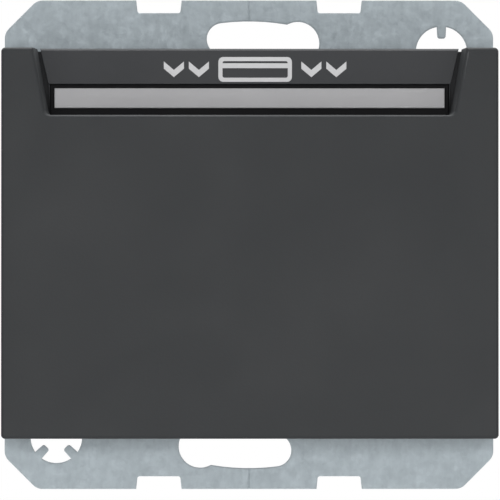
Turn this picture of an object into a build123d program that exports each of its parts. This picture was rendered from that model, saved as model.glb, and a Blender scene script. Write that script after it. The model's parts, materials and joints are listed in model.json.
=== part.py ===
from build123d import *
import os
from math import asin, atan2, cos, degrees, radians, sin, sqrt

# Flush key card switch for a hotel room, in millimetres.
# X runs right, Z up and Y into the wall, whose face is the plane y = 0. The origin is the
# centre of the support plate's rear face. A depth called "front" counts from the wall
# into the room, and is below zero inside the wall box.

# Support plate, sized by the screws of the wall box
box_screw_spacing = 60.3
plate_rim = 5.35
plate_size = box_screw_spacing + 2 * plate_rim
plate_thickness = 1.0
plate_corner_leg = 4.7
plate_corner_round = 2.0
notch_inset = 22.4
notch_mouth = 6.6
notch_root = 6.2
notch_round = 0.35
notch_depth = 1.84
arc_slot_width = 4.7
arc_slot_reach = 3.8
keyhole_reach = 7.1
keyhole_radius = 3.13
side_hole_radius = 1.9
tab_hole_inset = 7.5
tab_hole_radius = 3.75
tab_length = 1.75
tab_root_width = 1.5
tab_tip_width = 1.15
tab_tip_round = 0.35
tab_angles = (90, 225, 315)
mark_width = 0.2
mark_depth = 0.1
recess_margin = 0.4
recess_depth = 0.2

# Front cover
cover_overhang = 0.1
cover_height = 56.0
cover_front = 16.0
cover_lift = 0.3
cover_wall = 2.0
panel_thickness = 1.8
cover_corner_round = 0.6
cover_edge_round = 0.45
ear_width = 4.55
cutout_taper = 1.75
cutout_depth = 9.65
cutout_corner_round = 0.85
return_wall = 1.3
return_draft = 0.5
return_depth = 6.2
peg_radius = 1.2
peg_length = 7.7
peg_rise = 12.0
peg_drop = 20.0

# Card pocket: a 54 mm card with play on each side, and depth for a thick one
pocket_rail = 4.7
pocket_gap = 4.8
card_stop_drop = 20.0
stop_thickness = 2.0

# Card carrier
carrier_gap_side = 0.6
carrier_gap_end = 0.4
carrier_wall = 1.6
shoulder_drop = 2.4
shoulder_gap = 0.15
shoulder_sink = 0.2
ramp_rise = 0.1
ramp_height = 5.1
ramp_side_gap = 0.9
ramp_taper = 1.2
ramp_foot_rise = 0.6
ramp_head_rise = 0.3
pad_taper = 0.15
ramp_edge = 0.28
frame_recess = 1.0
frame_recess_drop = 1.0
boss_radius = 3.4
boss_gap = 3.1
carrier_screw_z = 11.0

# Light strip and its board
strip_frame = 0.7
strip_height = 2.85
strip_top_gap = 0.6
strip_proud = 0.2
strip_lip = 0.45
strip_lip_thickness = 1.0
led_board_gap = 0.6
led_board_edge = 1.25
led_board_thickness = 1.0
led_board_clear = 0.3
led_width = 3.5
led_height = 2.8
led_thickness = 1.7
led_pitch = 12.0
led_count = 4
post_radius = 1.0
post_inset = 2.3
post_rise = 2.1

# Screws
housing_screw_radius = 1.25
housing_screw_head_radius = 2.3
housing_screw_head = 1.2
housing_screw_length = 10.0
carrier_screw_radius = 1.25
carrier_screw_head_radius = 2.6
carrier_screw_head = 1.8
drive_width = 0.8
drive_depth = 0.8
thread_fit = 0.02
hole_play = 0.2

# Insert behind the plate
housing_size = 41.6
housing_depth = 31.0
housing_bevel = 5.0
housing_wall = 1.6
housing_boss_radius = 2.9
housing_screw_inset = 5.2
opening_step = 2.8
opening_round = 3.0
lid_step = 0.8
lid_thickness = 2.2
spigot_play = 0.2
spigot_wall = 1.5

# Card lever
lever_front = 5.6
lever_drop = 18.6
lever_hub_radius = 1.9
lever_pin_radius = 1.0
lever_play = 0.05
lever_hub_width = 9.8
arm_width = 8.4
arm_thickness = 2.0
arm_rise = 0.6
arm_tip_gap = 0.8
tail_width = 3.6
tail_thickness = 1.8
tail_length = 6.0
nose_radius = 1.1
lever_swing = 16.0
cheek_thickness = 1.8
cheek_height = 5.6
cheek_gap = 0.3
spring_front = 11.6
spring_radius = 1.5
spring_wire = 0.5
spring_shelf = 1.2

# Microswitch
switch_length = 12.8
switch_width = 5.8
switch_height = 6.5
plunger_radius = 1.2
plunger_play = 0.05
plunger_gap = 0.15
plunger_buried = 2.7
switch_bore_depth = 3.1
switch_pin_pitch = 5.08
switch_pin_width = 0.9
switch_pin_thickness = 0.5
switch_pin_shift = 1.6

# Power board
board_depth = 10.4
board_thickness = 1.6
board_play = 0.3
lead_radius = 0.4
lead_play = 0.1
lead_stub = 1.2

# Parts on the power board: length along X, height along Z, and how far each stands off it
rear_room = housing_depth - housing_wall - board_depth - board_thickness
relay_end_gap = 2.1
film_end_gap = 5.4
can_end_gap = 5.9
relay_size = (20.3, 10.2, rear_room - relay_end_gap)
relay_place = (-8.2, 6.9)
film_size = (12.6, 5.8, rear_room - film_end_gap)
film_place = (10.6, 4.9)
can_radius = 4.0
can_length = rear_room - can_end_gap
can_place = (7.4, 13.2)
can_groove = 0.5
varistor_radius = 3.5
varistor_thickness = 3.6
varistor_place = (-4.0, 14.4)
fuse_radius = 1.8
fuse_length = 9.0
fuse_place = (-10.6, -1.4)
resistor_radius = 1.5
resistor_length = 7.0
resistor_place = (2.6, -1.4)
rectifier_size = (6.4, 4.4, 2.6)
rectifier_place = (13.0, -1.4)

# Terminals
partition = 1.0
terminal_count = 4
terminal_side_room = 2.7
terminal_inside = housing_size - 2 * housing_wall - 2 * terminal_side_room
terminal_pitch = (terminal_inside - partition) / terminal_count
cage_side_gap = 0.4
cage_width = terminal_pitch - partition - 2 * cage_side_gap
cage_length = 5.6
cage_wall = 0.8
cage_floor = 1.6
cage_roof = 1.2
cage_window = 7.4
terminal_room = 3.7
bar_side_gap = 1.1
bar_width = cage_width - 2 * bar_side_gap
bar_thickness = 1.2
bar_top = 10.8
bar_overhang = 3.3
wire_room = 3.4
wire_hole_radius = 1.6
wire_wall = 3.0
terminal_screw_radius = 1.5
terminal_head_radius = 2.3
terminal_head = 1.8
terminal_head_sink = 0.2
terminal_head_play = 0.3
screw_tip_gap = 0.05
screw_play = 0.05
terminal_bevel = 2.0
terminal_block_play = 0.1

# Pin header between the boards
header_inset = 1.1
header_pitch = 2.54
header_count = 4
header_height = 8.5
header_side = 2.5
header_pin_radius = 0.32

# Mounting claws
claw_screw_gap = 2.5
claw_screw_radius = 1.5
claw_screw_head_radius = 2.8
claw_screw_head = 1.8
claw_screw_length = 27.0
claw_nut_width = 4.1
claw_nut_height = 8.8
claw_nut_depth = 3.2
claw_nut_start = 20.0
claw_pivot_depth = 1.6
claw_wedge = 2.9
claw_contact_gap = 0.1
claw_thickness = 0.8
claw_width = 9.2
claw_slot = 4.6
claw_slot_margin = 1.4
claw_tip = 2.4
claw_reach = claw_nut_start + claw_tip
claw_flare = 0.45
claw_flare_length = 1.4
claw_tooth = 0.7
claw_hub_radius = 1.2
claw_stub_radius = 0.8
claw_cheek_gap = 0.3
claw_cheek = 1.7
claw_cheek_reach = 3.4

# Edge rounds and cuts
small_round = 0.3
case_round = 0.5
overrun = 1.0

# Derived widths and places along the wall
plate_half = plate_size / 2
notch_place = plate_half - notch_inset
tab_hole_place = plate_half - tab_hole_inset
recess_radius = (box_screw_spacing - arc_slot_width) / 2 - recess_margin
cover_width = plate_size + 2 * cover_overhang
cutout_top_width = cover_width - 2 * ear_width
cutout_bottom_width = cutout_top_width - 2 * cutout_taper
ramp_top_width = cutout_top_width - 2 * ramp_side_gap
ramp_bottom_width = ramp_top_width - 2 * ramp_taper
pad_foot_width = ramp_bottom_width - 2 * pad_taper
strip_width = pad_foot_width - 2 * strip_frame
led_board_width = strip_width - 2 * led_board_gap
post_place = led_board_width / 2 - post_inset
opening_size = housing_size - 2 * opening_step
lid_size = housing_size - 2 * lid_step
housing_screw_place = housing_size / 2 - housing_screw_inset
claw_screw_x = housing_size / 2 + claw_screw_gap
carrier_screw_x = lid_size / 2 + boss_radius + boss_gap
terminal_depth = housing_depth - wire_wall - terminal_room
partition_start = terminal_depth - terminal_room
header_rise = opening_size / 2 - header_inset

# Derived places in front of the wall
plate_front = plate_thickness
cover_back = plate_front + cover_lift
panel_back = cover_front - panel_thickness
pad_front = panel_back - pocket_gap
pad_back = pad_front - carrier_wall
shoulder_front = pad_front - shoulder_drop
lid_front = plate_front + lid_thickness
led_board_back = lid_front + led_board_clear
led_board_front = led_board_back + led_board_thickness
strip_front = pad_front + strip_proud
strip_back = pad_back - strip_lip_thickness
rail_front = panel_back - cheek_gap
board_front = -board_depth
board_back = board_front - board_thickness
housing_front = recess_depth
housing_back = -housing_depth

# Derived heights and half widths
cover_top = cover_height / 2
cutout_floor = cover_top - cutout_depth
carrier_half = cover_width / 2 - cover_wall - carrier_gap_side
carrier_low = cover_wall + carrier_gap_end - cover_height / 2
carrier_high = cover_height / 2 - cover_wall - carrier_gap_end
pocket_half = carrier_half - pocket_rail
ramp_top = cover_top + ramp_rise
shoulder_top = cover_top - shoulder_sink
rail_top = cutout_floor - 2 * carrier_gap_end
rail_middle = (pocket_half + carrier_half) / 2
ramp_bottom = ramp_top - ramp_height
strip_top = ramp_bottom - strip_top_gap
strip_bottom = strip_top - strip_height
strip_middle = (strip_top + strip_bottom) / 2
led_board_top = strip_top + strip_height
led_board_bottom = header_rise - led_board_edge
lever_z = -lever_drop
nose_z = lever_z + tail_length
stop_z = -card_stop_drop
housing_inner = housing_size / 2 - housing_wall
terminal_places = [(i - (terminal_count - 1) / 2) * terminal_pitch for i in range(terminal_count)]


def facing(front):
    """Sketch plane parallel to the wall, at a distance in front of it."""
    return Plane.XZ.offset(front)


def bevelled_square(size, leg, mode=Mode.ADD):
    """A square with its corners cut off, in the open sketch."""
    half = size / 2
    short = half - leg
    points = [(half, -short), (half, short), (short, half), (-short, half)]
    points += [(-half, short), (-half, -short), (-short, -half), (short, -half)]
    return Polygon(*points, align=None, mode=mode)


def block(x_span, z_span, front_span, mode=Mode.ADD):
    """A box between two values each of x, z and the distance in front of the wall."""
    with BuildSketch(facing(front_span[0])) as outline:
        with Locations((sum(x_span) / 2, sum(z_span) / 2)):
            Rectangle(x_span[1] - x_span[0], z_span[1] - z_span[0])
    extrude(outline.sketch, amount=front_span[1] - front_span[0], mode=mode)


def rods(places, radius, front_span, mode=Mode.ADD):
    """Round rods or holes square to the wall at (x, z) places."""
    with BuildSketch(facing(front_span[0])) as outline:
        with Locations(*places):
            Circle(radius)
    extrude(outline.sketch, amount=front_span[1] - front_span[0], mode=mode)


def mirrored(x, z):
    """The place and its twin on the other side of the middle."""
    return [(-x, z), (x, z)]


def four_corners(place):
    return [(-place, -place), (place, -place), (-place, place), (place, place)]


# Support plate: stamped zinc-plated steel
slot_path = Edge.make_circle(
    box_screw_spacing / 2,
    start_angle=90 - degrees(asin(2 * keyhole_reach / box_screw_spacing)),
    end_angle=90 + degrees(asin(2 * arc_slot_reach / box_screw_spacing)),
)
keyhole_z = sqrt((box_screw_spacing / 2) ** 2 - keyhole_reach**2)

with BuildSketch() as notch:
    Polygon(
        (-notch_mouth / 2, 0),
        (notch_mouth / 2, 0),
        (notch_root / 2, -notch_depth),
        (-notch_root / 2, -notch_depth),
        align=None,
    )
    fillet(notch.vertices().group_by(Axis.Y)[0], radius=notch_round)

with BuildPart() as support_plate:
    with BuildSketch(facing(0)) as plate_outline:
        Rectangle(plate_size, plate_size)
        chamfer(plate_outline.vertices(), length=plate_corner_leg)
        fillet(plate_outline.vertices(), radius=plate_corner_round)
        with PolarLocations(0, 2):
            with Locations((-notch_place, plate_half), (notch_place, plate_half)):
                add(notch.sketch, mode=Mode.SUBTRACT)
            SlotArc(slot_path, arc_slot_width, mode=Mode.SUBTRACT)
            with Locations((keyhole_reach, keyhole_z)):
                Circle(keyhole_radius, mode=Mode.SUBTRACT)
        RectangleRounded(opening_size, opening_size, opening_round, mode=Mode.SUBTRACT)
        with Locations(*mirrored(box_screw_spacing / 2, 0)):
            Circle(side_hole_radius, mode=Mode.SUBTRACT)
        with Locations(*mirrored(claw_screw_x, 0)):
            Circle(claw_screw_radius + hole_play, mode=Mode.SUBTRACT)
        with Locations(*mirrored(carrier_screw_x, carrier_screw_z)):
            Circle(carrier_screw_radius + thread_fit, mode=Mode.SUBTRACT)
        tab_root = tab_hole_radius + tab_root_width
        tab_tip = tab_hole_radius - tab_length
        for corner in (-tab_hole_place, tab_hole_place):
            with Locations((corner, corner)):
                Circle(tab_hole_radius, mode=Mode.SUBTRACT)
            for angle in tab_angles:
                with Locations(Location((corner, corner, 0), (0, 0, angle))):
                    Polygon(
                        (tab_root, -tab_root_width / 2),
                        (tab_root, tab_root_width / 2),
                        (tab_tip, tab_tip_width / 2),
                        (tab_tip, -tab_tip_width / 2),
                        align=None,
                    )
        tip_reach = sqrt(tab_tip**2 + (tab_tip_width / 2) ** 2)
        tips = [
            point
            for point in plate_outline.vertices()
            for corner in (-tab_hole_place, tab_hole_place)
            if abs(sqrt((point.X - corner) ** 2 + (point.Y - corner) ** 2) - tip_reach) < thread_fit
        ]
        fillet(tips, radius=tab_tip_round)
    extrude(amount=plate_thickness)
    with BuildSketch(facing(0)):
        Circle(recess_radius)
    extrude(amount=recess_depth, mode=Mode.SUBTRACT)
    mark_length = plate_size - box_screw_spacing
    with BuildSketch(facing(plate_front)):
        with Locations((0, -plate_half), (0, plate_half)):
            Rectangle(mark_width, mark_length)
    extrude(amount=-mark_depth, mode=Mode.SUBTRACT)

# Front cover: moulded shell with the cut-out in its top edge
cutout_slope = (cutout_top_width - cutout_bottom_width) / 2 / cutout_depth


def cutout_half(z, inset=0):
    """Half width of the cut-out at a height."""
    return cutout_bottom_width / 2 + (z - cutout_floor) * cutout_slope - inset


def cutout_sketch(front, inset):
    """Outline of the cut-out, open past the top edge, with rounded lower corners."""
    high = cover_top + overrun
    with BuildSketch(facing(front)) as sketch:
        Polygon(
            (-cutout_half(cutout_floor, inset), cutout_floor),
            (cutout_half(cutout_floor, inset), cutout_floor),
            (cutout_half(high, inset), high),
            (-cutout_half(high, inset), high),
            align=None,
        )
        fillet(sketch.vertices().group_by(Axis.Y)[0], radius=cutout_corner_round)
    return sketch.sketch


return_back = cover_front - return_depth
with BuildPart() as front_cover:
    with BuildSketch(facing(cover_back)):
        RectangleRounded(cover_width, cover_height, cover_corner_round)
    extrude(amount=cover_front - cover_back)
    with BuildSketch(facing(cover_back)):
        Rectangle(cover_width - 2 * cover_wall, cover_height - 2 * cover_wall)
    extrude(amount=panel_back - cover_back, mode=Mode.SUBTRACT)
    with BuildSketch(facing(return_back)):
        for side in (-1, 1):
            inside = return_draft + overrun
            high = cover_top - cover_wall / 2
            Polygon(
                (side * cutout_half(cutout_floor, inside), cutout_floor),
                (side * cutout_half(cutout_floor, -return_wall), cutout_floor),
                (side * cutout_half(high, -return_wall), high),
                (side * cutout_half(high, inside), high),
                align=None,
            )
    extrude(amount=panel_back - return_back)
    loft([cutout_sketch(return_back, return_draft), cutout_sketch(cover_front, 0)], mode=Mode.SUBTRACT)
    behind_returns = cutout_sketch(cover_back - overrun, 0)
    extrude(behind_returns, amount=return_back - cover_back + overrun, mode=Mode.SUBTRACT)
    front_edges = front_cover.faces().sort_by(Axis.Y)[0].edges()
    fillet(front_edges, radius=cover_edge_round)
    rods(
        mirrored(rail_middle, peg_rise) + mirrored(rail_middle, -peg_drop),
        peg_radius,
        (panel_back, panel_back - peg_length),
    )


# Card carrier: sloped face, strip window, pocket sides, card stop and lever bearings
shelf_z = carrier_low + spring_shelf
arm_top = lever_z + arm_rise
arm_bottom = arm_top - arm_thickness
window_half = arm_width / 2 + cheek_gap + hole_play / 2
claw_access_radius = claw_screw_head_radius + 2 * hole_play
cavity_top = led_board_top - 2 * strip_lip
with BuildPart() as card_carrier:
    skirt = (plate_front, shoulder_front)
    block((-carrier_half, carrier_half), (carrier_low, carrier_high), skirt)
    # Shoulder that closes the cut-out from behind, its sides along the slope of the cover
    wall_low = cover_top - cover_wall
    with BuildSketch(facing(plate_front)):
        Polygon(
            (-cutout_half(wall_low, shoulder_gap), carrier_low),
            (cutout_half(wall_low, shoulder_gap), carrier_low),
            (cutout_half(wall_low, shoulder_gap), wall_low),
            (cutout_half(shoulder_top, shoulder_gap), shoulder_top),
            (-cutout_half(shoulder_top, shoulder_gap), shoulder_top),
            (-cutout_half(wall_low, shoulder_gap), wall_low),
            align=None,
        )
    extrude(amount=shoulder_front - plate_front)
    # Wall behind the card, and the pad that carries the strip
    block((-carrier_half, carrier_half), (carrier_low, rail_top), (shoulder_front, pad_front))
    with BuildSketch(facing(plate_front)):
        Polygon(
            (-pad_foot_width / 2, rail_top - overrun),
            (pad_foot_width / 2, rail_top - overrun),
            (pad_foot_width / 2, strip_bottom),
            (ramp_bottom_width / 2, ramp_bottom),
            (ramp_top_width / 2, ramp_top),
            (-ramp_top_width / 2, ramp_top),
            (-ramp_bottom_width / 2, ramp_bottom),
            (-pad_foot_width / 2, strip_bottom),
            align=None,
        )
    extrude(amount=pad_front - plate_front)
    # Sloped face: foot stands further out than its head
    with BuildSketch(Plane.YZ.offset(-ramp_top_width / 2)):
        Polygon(
            (-pad_front, ramp_bottom),
            (-pad_front - ramp_foot_rise, ramp_bottom),
            (-pad_front - ramp_head_rise, ramp_top - ramp_edge),
            (-pad_front - ramp_head_rise + ramp_edge, ramp_top),
            (-pad_front, ramp_top),
            align=None,
        )
    extrude(amount=ramp_top_width)
    for side in (-1, 1):
        with BuildSketch(facing(pad_front)):
            Polygon(
                (side * ramp_bottom_width / 2, ramp_bottom),
                (side * ramp_top_width / 2, ramp_top),
                (side * (ramp_top_width / 2 + overrun), ramp_top),
                (side * (ramp_top_width / 2 + overrun), ramp_bottom),
                align=None,
            )
        extrude(amount=pocket_gap, mode=Mode.SUBTRACT)
    # Frame of the strip, set back, with a lead-in for the card's edge
    recess_low = cutout_floor - frame_recess_drop
    with BuildSketch(Plane.YZ.offset(-pad_foot_width / 2)):
        Polygon(
            (-pad_front, ramp_bottom),
            (frame_recess - pad_front, ramp_bottom),
            (frame_recess - pad_front, recess_low),
            (-pad_front, recess_low - frame_recess),
            align=None,
        )
    extrude(amount=pad_foot_width, mode=Mode.SUBTRACT)
    # Pocket sides with peg sockets, and the card stop
    for side in (-1, 1):
        rail = sorted((side * pocket_half, side * carrier_half))
        block(rail, (carrier_low, rail_top), (pad_front, rail_front))
    block((-pocket_half, pocket_half), (stop_z - stop_thickness, stop_z), (pad_front, rail_front))
    box_half = window_half + stop_thickness / 2
    block((-box_half, box_half), (carrier_low, stop_z - stop_thickness), (pad_front, rail_front))
    # Hollow behind
    inner_half = carrier_half - carrier_wall
    low = carrier_low + carrier_wall
    hollow = (plate_front, shoulder_front - carrier_wall)
    block((-inner_half, inner_half), (low, cavity_top), hollow, Mode.SUBTRACT)
    board_half = led_board_width / 2 + small_round
    board_top = led_board_top + small_round
    board_room = (plate_front, led_board_front)
    block((-board_half, board_half), (cavity_top, board_top), board_room, Mode.SUBTRACT)
    deep_half = strip_width / 2 - small_round
    block((-deep_half, deep_half), (low, cavity_top), (plate_front, pad_back), Mode.SUBTRACT)
    # Window of the strip, from behind with room for its lips
    slit_half = strip_width / 2 + thread_fit
    lip_span = (strip_bottom - strip_lip - lead_play, strip_top + strip_lip + lead_play)
    slit_span = (strip_bottom - thread_fit, strip_top + thread_fit)
    slit_front = strip_front + overrun
    block((-slit_half, slit_half), lip_span, (plate_front, pad_back), Mode.SUBTRACT)
    block((-slit_half, slit_half), slit_span, (pad_back, slit_front), Mode.SUBTRACT)
    # Posts that seat the small board
    post_z = led_board_bottom + post_rise
    rods(mirrored(post_place, post_z), post_radius, (led_board_front, pad_back))
    # Screw bosses and the way to the claw screws
    boss_places = mirrored(carrier_screw_x, carrier_screw_z)
    rods(boss_places, boss_radius, (plate_front, pad_back))
    head_seat = pad_front - carrier_screw_head - 2 * carrier_gap_side
    past_pad = pad_front + overrun
    head_room = carrier_screw_head_radius + hole_play
    rods(boss_places, head_room, (head_seat, past_pad), Mode.SUBTRACT)
    rods(boss_places, carrier_screw_radius + hole_play, (0, head_seat), Mode.SUBTRACT)
    rods(mirrored(claw_screw_x, 0), claw_access_radius, (0, past_pad), Mode.SUBTRACT)
    # Lever bearings, with the window for its arm and the relief for its tail
    for side in (-1, 1):
        near = lever_hub_width / 2 + cheek_gap
        span = sorted((side * near, side * (near + cheek_thickness)))
        half_cheek = cheek_height / 2
        block(span, (lever_z - half_cheek, lever_z + half_cheek), (lid_front + cheek_gap, pad_back))
    with BuildSketch(Plane.YZ):
        with Locations((-lever_front, lever_z)):
            Circle(lever_pin_radius + thread_fit)
    extrude(amount=carrier_half - carrier_wall, both=True, mode=Mode.SUBTRACT)
    arm_drop = (pad_front - lever_front) * sin(radians(lever_swing))
    window_span = (arm_bottom - arm_drop - 2 * hole_play, arm_top + arm_rise)
    block((-window_half, window_half), window_span, (pad_back, past_pad), Mode.SUBTRACT)
    relief_half = tail_width / 2 + 2 * hole_play
    relief_span = (lever_z, nose_z + nose_radius + 2 * hole_play)
    relief_front = pad_front - 2 * hole_play
    block((-relief_half, relief_half), relief_span, (pad_back, relief_front), Mode.SUBTRACT)
    # Well for the arm and its spring
    well = (pad_front, rail_front + overrun)
    block((-window_half, window_half), (shelf_z, stop_z + overrun), well, Mode.SUBTRACT)
    # Peg sockets
    rods(
        mirrored(rail_middle, peg_rise) + mirrored(rail_middle, -peg_drop),
        peg_radius + plunger_play,
        (panel_back - peg_length - small_round, rail_front + overrun),
        Mode.SUBTRACT,
    )

# Screws that hold the carrier on the plate
with BuildPart() as carrier_screws:
    rods(boss_places, carrier_screw_head_radius, (head_seat, head_seat + carrier_screw_head))
    rods(boss_places, carrier_screw_radius, (thread_fit, head_seat))
    with BuildSketch(facing(head_seat + carrier_screw_head)):
        with Locations(*boss_places):
            Rectangle(2 * carrier_screw_radius, drive_width)
            Rectangle(drive_width, 2 * carrier_screw_radius)
    extrude(amount=-drive_depth, mode=Mode.SUBTRACT)

# Light strip: translucent bar with a lip above and below
with BuildPart() as light_strip:
    strip_half = strip_width / 2
    block((-strip_half, strip_half), (strip_bottom, strip_top), (strip_back, strip_front))
    block(
        (-strip_half, strip_half),
        (strip_bottom - strip_lip, strip_top + strip_lip),
        (strip_back, pad_back),
    )

# Board behind the strip
header_start = -(header_count - 1) / 2 * header_pitch
header_places = [(header_start + i * header_pitch, header_rise) for i in range(header_count)]
with BuildPart() as led_board:
    led_half = led_board_width / 2
    block((-led_half, led_half), (led_board_bottom, led_board_top), (led_board_back, led_board_front))
    rods(header_places, header_pin_radius + lead_play, (led_board_back, led_board_front), Mode.SUBTRACT)

with BuildPart() as leds:
    with BuildSketch(facing(led_board_front)):
        with Locations((0, strip_middle)):
            with GridLocations(led_pitch, 0, led_count, 1):
                Rectangle(led_width, led_height)
    extrude(amount=led_thickness)

# Lid in front of the plate, with its spigot in the plate's opening
with BuildPart() as insert_lid:
    with BuildSketch(facing(plate_front)):
        bevelled_square(lid_size, housing_bevel)
    extrude(amount=lid_thickness)
    with BuildSketch(facing(recess_depth)):
        spigot = opening_size - 2 * spigot_play
        RectangleRounded(spigot, spigot, opening_round)
        Rectangle(spigot - 2 * spigot_wall, spigot - 2 * spigot_wall, mode=Mode.SUBTRACT)
    extrude(amount=plate_front - recess_depth)
    rods([(0, nose_z)], plunger_radius + 2 * hole_play, (0, lid_front), Mode.SUBTRACT)
    slit = header_count * header_pitch / 2
    slit_rise = header_pin_radius + small_round
    slit_heights = (header_rise - slit_rise, header_rise + slit_rise)
    block((-slit, slit), slit_heights, (0, lid_front), Mode.SUBTRACT)
    screw_places = four_corners(housing_screw_place)
    screw_seat = lid_front - housing_screw_head
    rods(screw_places, housing_screw_radius + hole_play, (0, lid_front), Mode.SUBTRACT)
    rods(screw_places, housing_screw_head_radius + hole_play, (screw_seat, lid_front), Mode.SUBTRACT)

with BuildPart() as housing_screws:
    rods(screw_places, housing_screw_head_radius, (screw_seat, lid_front))
    rods(screw_places, housing_screw_radius, (screw_seat - housing_screw_length, screw_seat))
    with BuildSketch(facing(lid_front)):
        with Locations(*screw_places):
            Rectangle(2 * housing_screw_radius, drive_width)
            Rectangle(drive_width, 2 * housing_screw_radius)
    extrude(amount=-drive_depth, mode=Mode.SUBTRACT)

# Housing in the wall box
bar_z = -bar_top
wire_z = bar_z + wire_room / 2
cage_top = bar_z + wire_room + cage_roof
cage_bottom = cage_top - cage_roof - cage_window - cage_floor
shelf_low = cage_top + hole_play + lead_radius
housing_floor = housing_back + housing_wall
wire_floor = housing_back + wire_wall
claw_side = housing_size / 2
inner_bevel = housing_bevel - housing_wall * (2 - sqrt(2))
claw_pivot_x = claw_screw_x + claw_nut_width / 2 - claw_wedge + claw_contact_gap / 2
terminal_half = (terminal_count * terminal_pitch + partition) / 2
terminal_low = terminal_block_play - housing_inner
terminal_high = shelf_low + partition


def terminal_outline(front, grown):
    """Outline of the terminal block, with its lower corners cut off, grown on all sides."""
    side = terminal_half + grown
    low = terminal_low - grown
    high = terminal_high + grown
    corner = low + terminal_bevel
    inner = side - terminal_bevel
    with BuildSketch(facing(front)) as sketch:
        Polygon(
            (-inner, low),
            (inner, low),
            (side, corner),
            (side, high),
            (-side, high),
            (-side, corner),
            align=None,
        )
    return sketch.sketch


with BuildPart() as insert_housing:
    with BuildSketch(facing(housing_front)):
        bevelled_square(housing_size, housing_bevel)
        bevelled_square(2 * housing_inner, inner_bevel, mode=Mode.SUBTRACT)
    extrude(amount=housing_floor - housing_front)
    # Screw columns, which end on the power board's corners
    rods(screw_places, housing_boss_radius, (board_front, housing_front))
    screw_hole_end = screw_seat - housing_screw_length - small_round
    screw_hole = (screw_hole_end, housing_front)
    rods(screw_places, housing_screw_radius + thread_fit, screw_hole, Mode.SUBTRACT)
    # Ribs that seat the power board
    rib_side = housing_inner - housing_wall
    rib_high = shelf_low + 2 * housing_wall
    for side in (-1, 1):
        rib = sorted((side * rib_side, side * housing_inner))
        block(rib, (shelf_low, rib_high), (housing_floor, board_back))
    block((-housing_wall, housing_wall), (rib_side, housing_inner), (housing_floor, board_back))
    # Ways to the terminal screws
    with BuildSketch(Plane.XY.offset(-housing_size / 2)):
        with Locations(*[(x, terminal_depth) for x in terminal_places]):
            Circle(terminal_head_radius + terminal_head_play)
    extrude(amount=housing_wall, mode=Mode.SUBTRACT)
    # Cheeks that hold the claws' stubs
    cheek_near = claw_width / 2 + claw_cheek_gap
    cheek_out = claw_pivot_x + 2 * claw_stub_radius
    for side in (-1, 1):
        for up in (-1, 1):
            block(
                sorted((side * claw_side, side * cheek_out)),
                sorted((up * cheek_near, up * (cheek_near + claw_cheek))),
                (-claw_cheek_reach, 0),
            )
    with BuildSketch(Plane.XY):
        with Locations((-claw_pivot_x, claw_pivot_depth), (claw_pivot_x, claw_pivot_depth)):
            Circle(claw_stub_radius + screw_play)
    extrude(amount=cheek_near + claw_cheek, both=True, mode=Mode.SUBTRACT)

# Rear wall, welded onto the housing, with the window of the terminal block
with BuildPart() as insert_back:
    with BuildSketch(facing(housing_floor)):
        bevelled_square(housing_size, housing_bevel)
    extrude(amount=housing_back - housing_floor)
    window = terminal_outline(housing_floor, terminal_block_play)
    extrude(window, amount=housing_back - housing_floor, mode=Mode.SUBTRACT)

# Terminal block: its thick rear wall fills the window, and its chambers hold the cages
wire_places = [(x, wire_z) for x in terminal_places]
with BuildPart() as terminal_block:
    extrude(terminal_outline(wire_floor, 0), amount=housing_back - wire_floor)
    shelf_span = (wire_floor, -partition_start)
    block((-terminal_half, terminal_half), (shelf_low, terminal_high), shelf_span)
    for i in range(terminal_count + 1):
        middle = (i - terminal_count / 2) * terminal_pitch
        rib = (middle - partition / 2, middle + partition / 2)
        block(rib, (terminal_low + terminal_bevel, shelf_low), shelf_span)
    rods(wire_places, wire_hole_radius, (housing_back, wire_floor), Mode.SUBTRACT)

# Lever that the card pushes down
with BuildPart() as card_lever:
    with BuildSketch(Plane.YZ):
        with Locations((-lever_front, lever_z)):
            Circle(lever_hub_radius)
    extrude(amount=lever_hub_width / 2, both=True)
    with BuildSketch(Plane.YZ):
        arm_tip = rail_front - arm_tip_gap + cheek_gap
        Polygon(
            (-lever_front, arm_top),
            (-arm_tip, arm_top),
            (-arm_tip, arm_bottom),
            (-lever_front, arm_bottom),
            align=None,
        )
    extrude(amount=arm_width / 2, both=True)
    with BuildSketch(Plane.YZ):
        with Locations((-lever_front, (lever_z + nose_z) / 2)):
            Rectangle(tail_thickness, tail_length)
        with Locations((-lever_front, nose_z)):
            Circle(nose_radius)
    extrude(amount=tail_width / 2, both=True)
    with BuildSketch(Plane.YZ):
        with Locations((-lever_front, lever_z)):
            Circle(lever_pin_radius + lever_play)
    extrude(amount=lever_hub_width, both=True, mode=Mode.SUBTRACT)

with BuildPart() as lever_pin:
    with BuildSketch(Plane.YZ):
        with Locations((-lever_front, lever_z)):
            Circle(lever_pin_radius)
    extrude(amount=lever_hub_width / 2 + cheek_gap + cheek_thickness, both=True)

with BuildPart() as lever_spring:
    with BuildSketch(Plane.XY.offset(shelf_z)):
        with Locations((0, -spring_front)):
            Circle(spring_radius)
            Circle(spring_radius - spring_wire, mode=Mode.SUBTRACT)
    extrude(amount=arm_bottom - shelf_z)

# Microswitch on the front of the power board
switch_front = board_front + switch_height
plunger_front = lever_front - nose_radius - plunger_gap
plunger_back = switch_front - plunger_buried
with BuildPart() as microswitch_body:
    half = switch_length / 2
    heights = (nose_z - switch_width / 2, nose_z + switch_width / 2)
    block((-half, half), heights, (board_front, switch_front))
    fillet(microswitch_body.edges().filter_by(Axis.Y), radius=small_round)
    rods(
        [(0, nose_z)],
        plunger_radius + plunger_play,
        (switch_front - switch_bore_depth, switch_front),
        Mode.SUBTRACT,
    )

with BuildPart() as microswitch_plunger:
    rods([(0, nose_z)], plunger_radius, (plunger_back, plunger_front))
    fillet(microswitch_plunger.edges().sort_by(Axis.Y)[0], radius=small_round)

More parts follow.
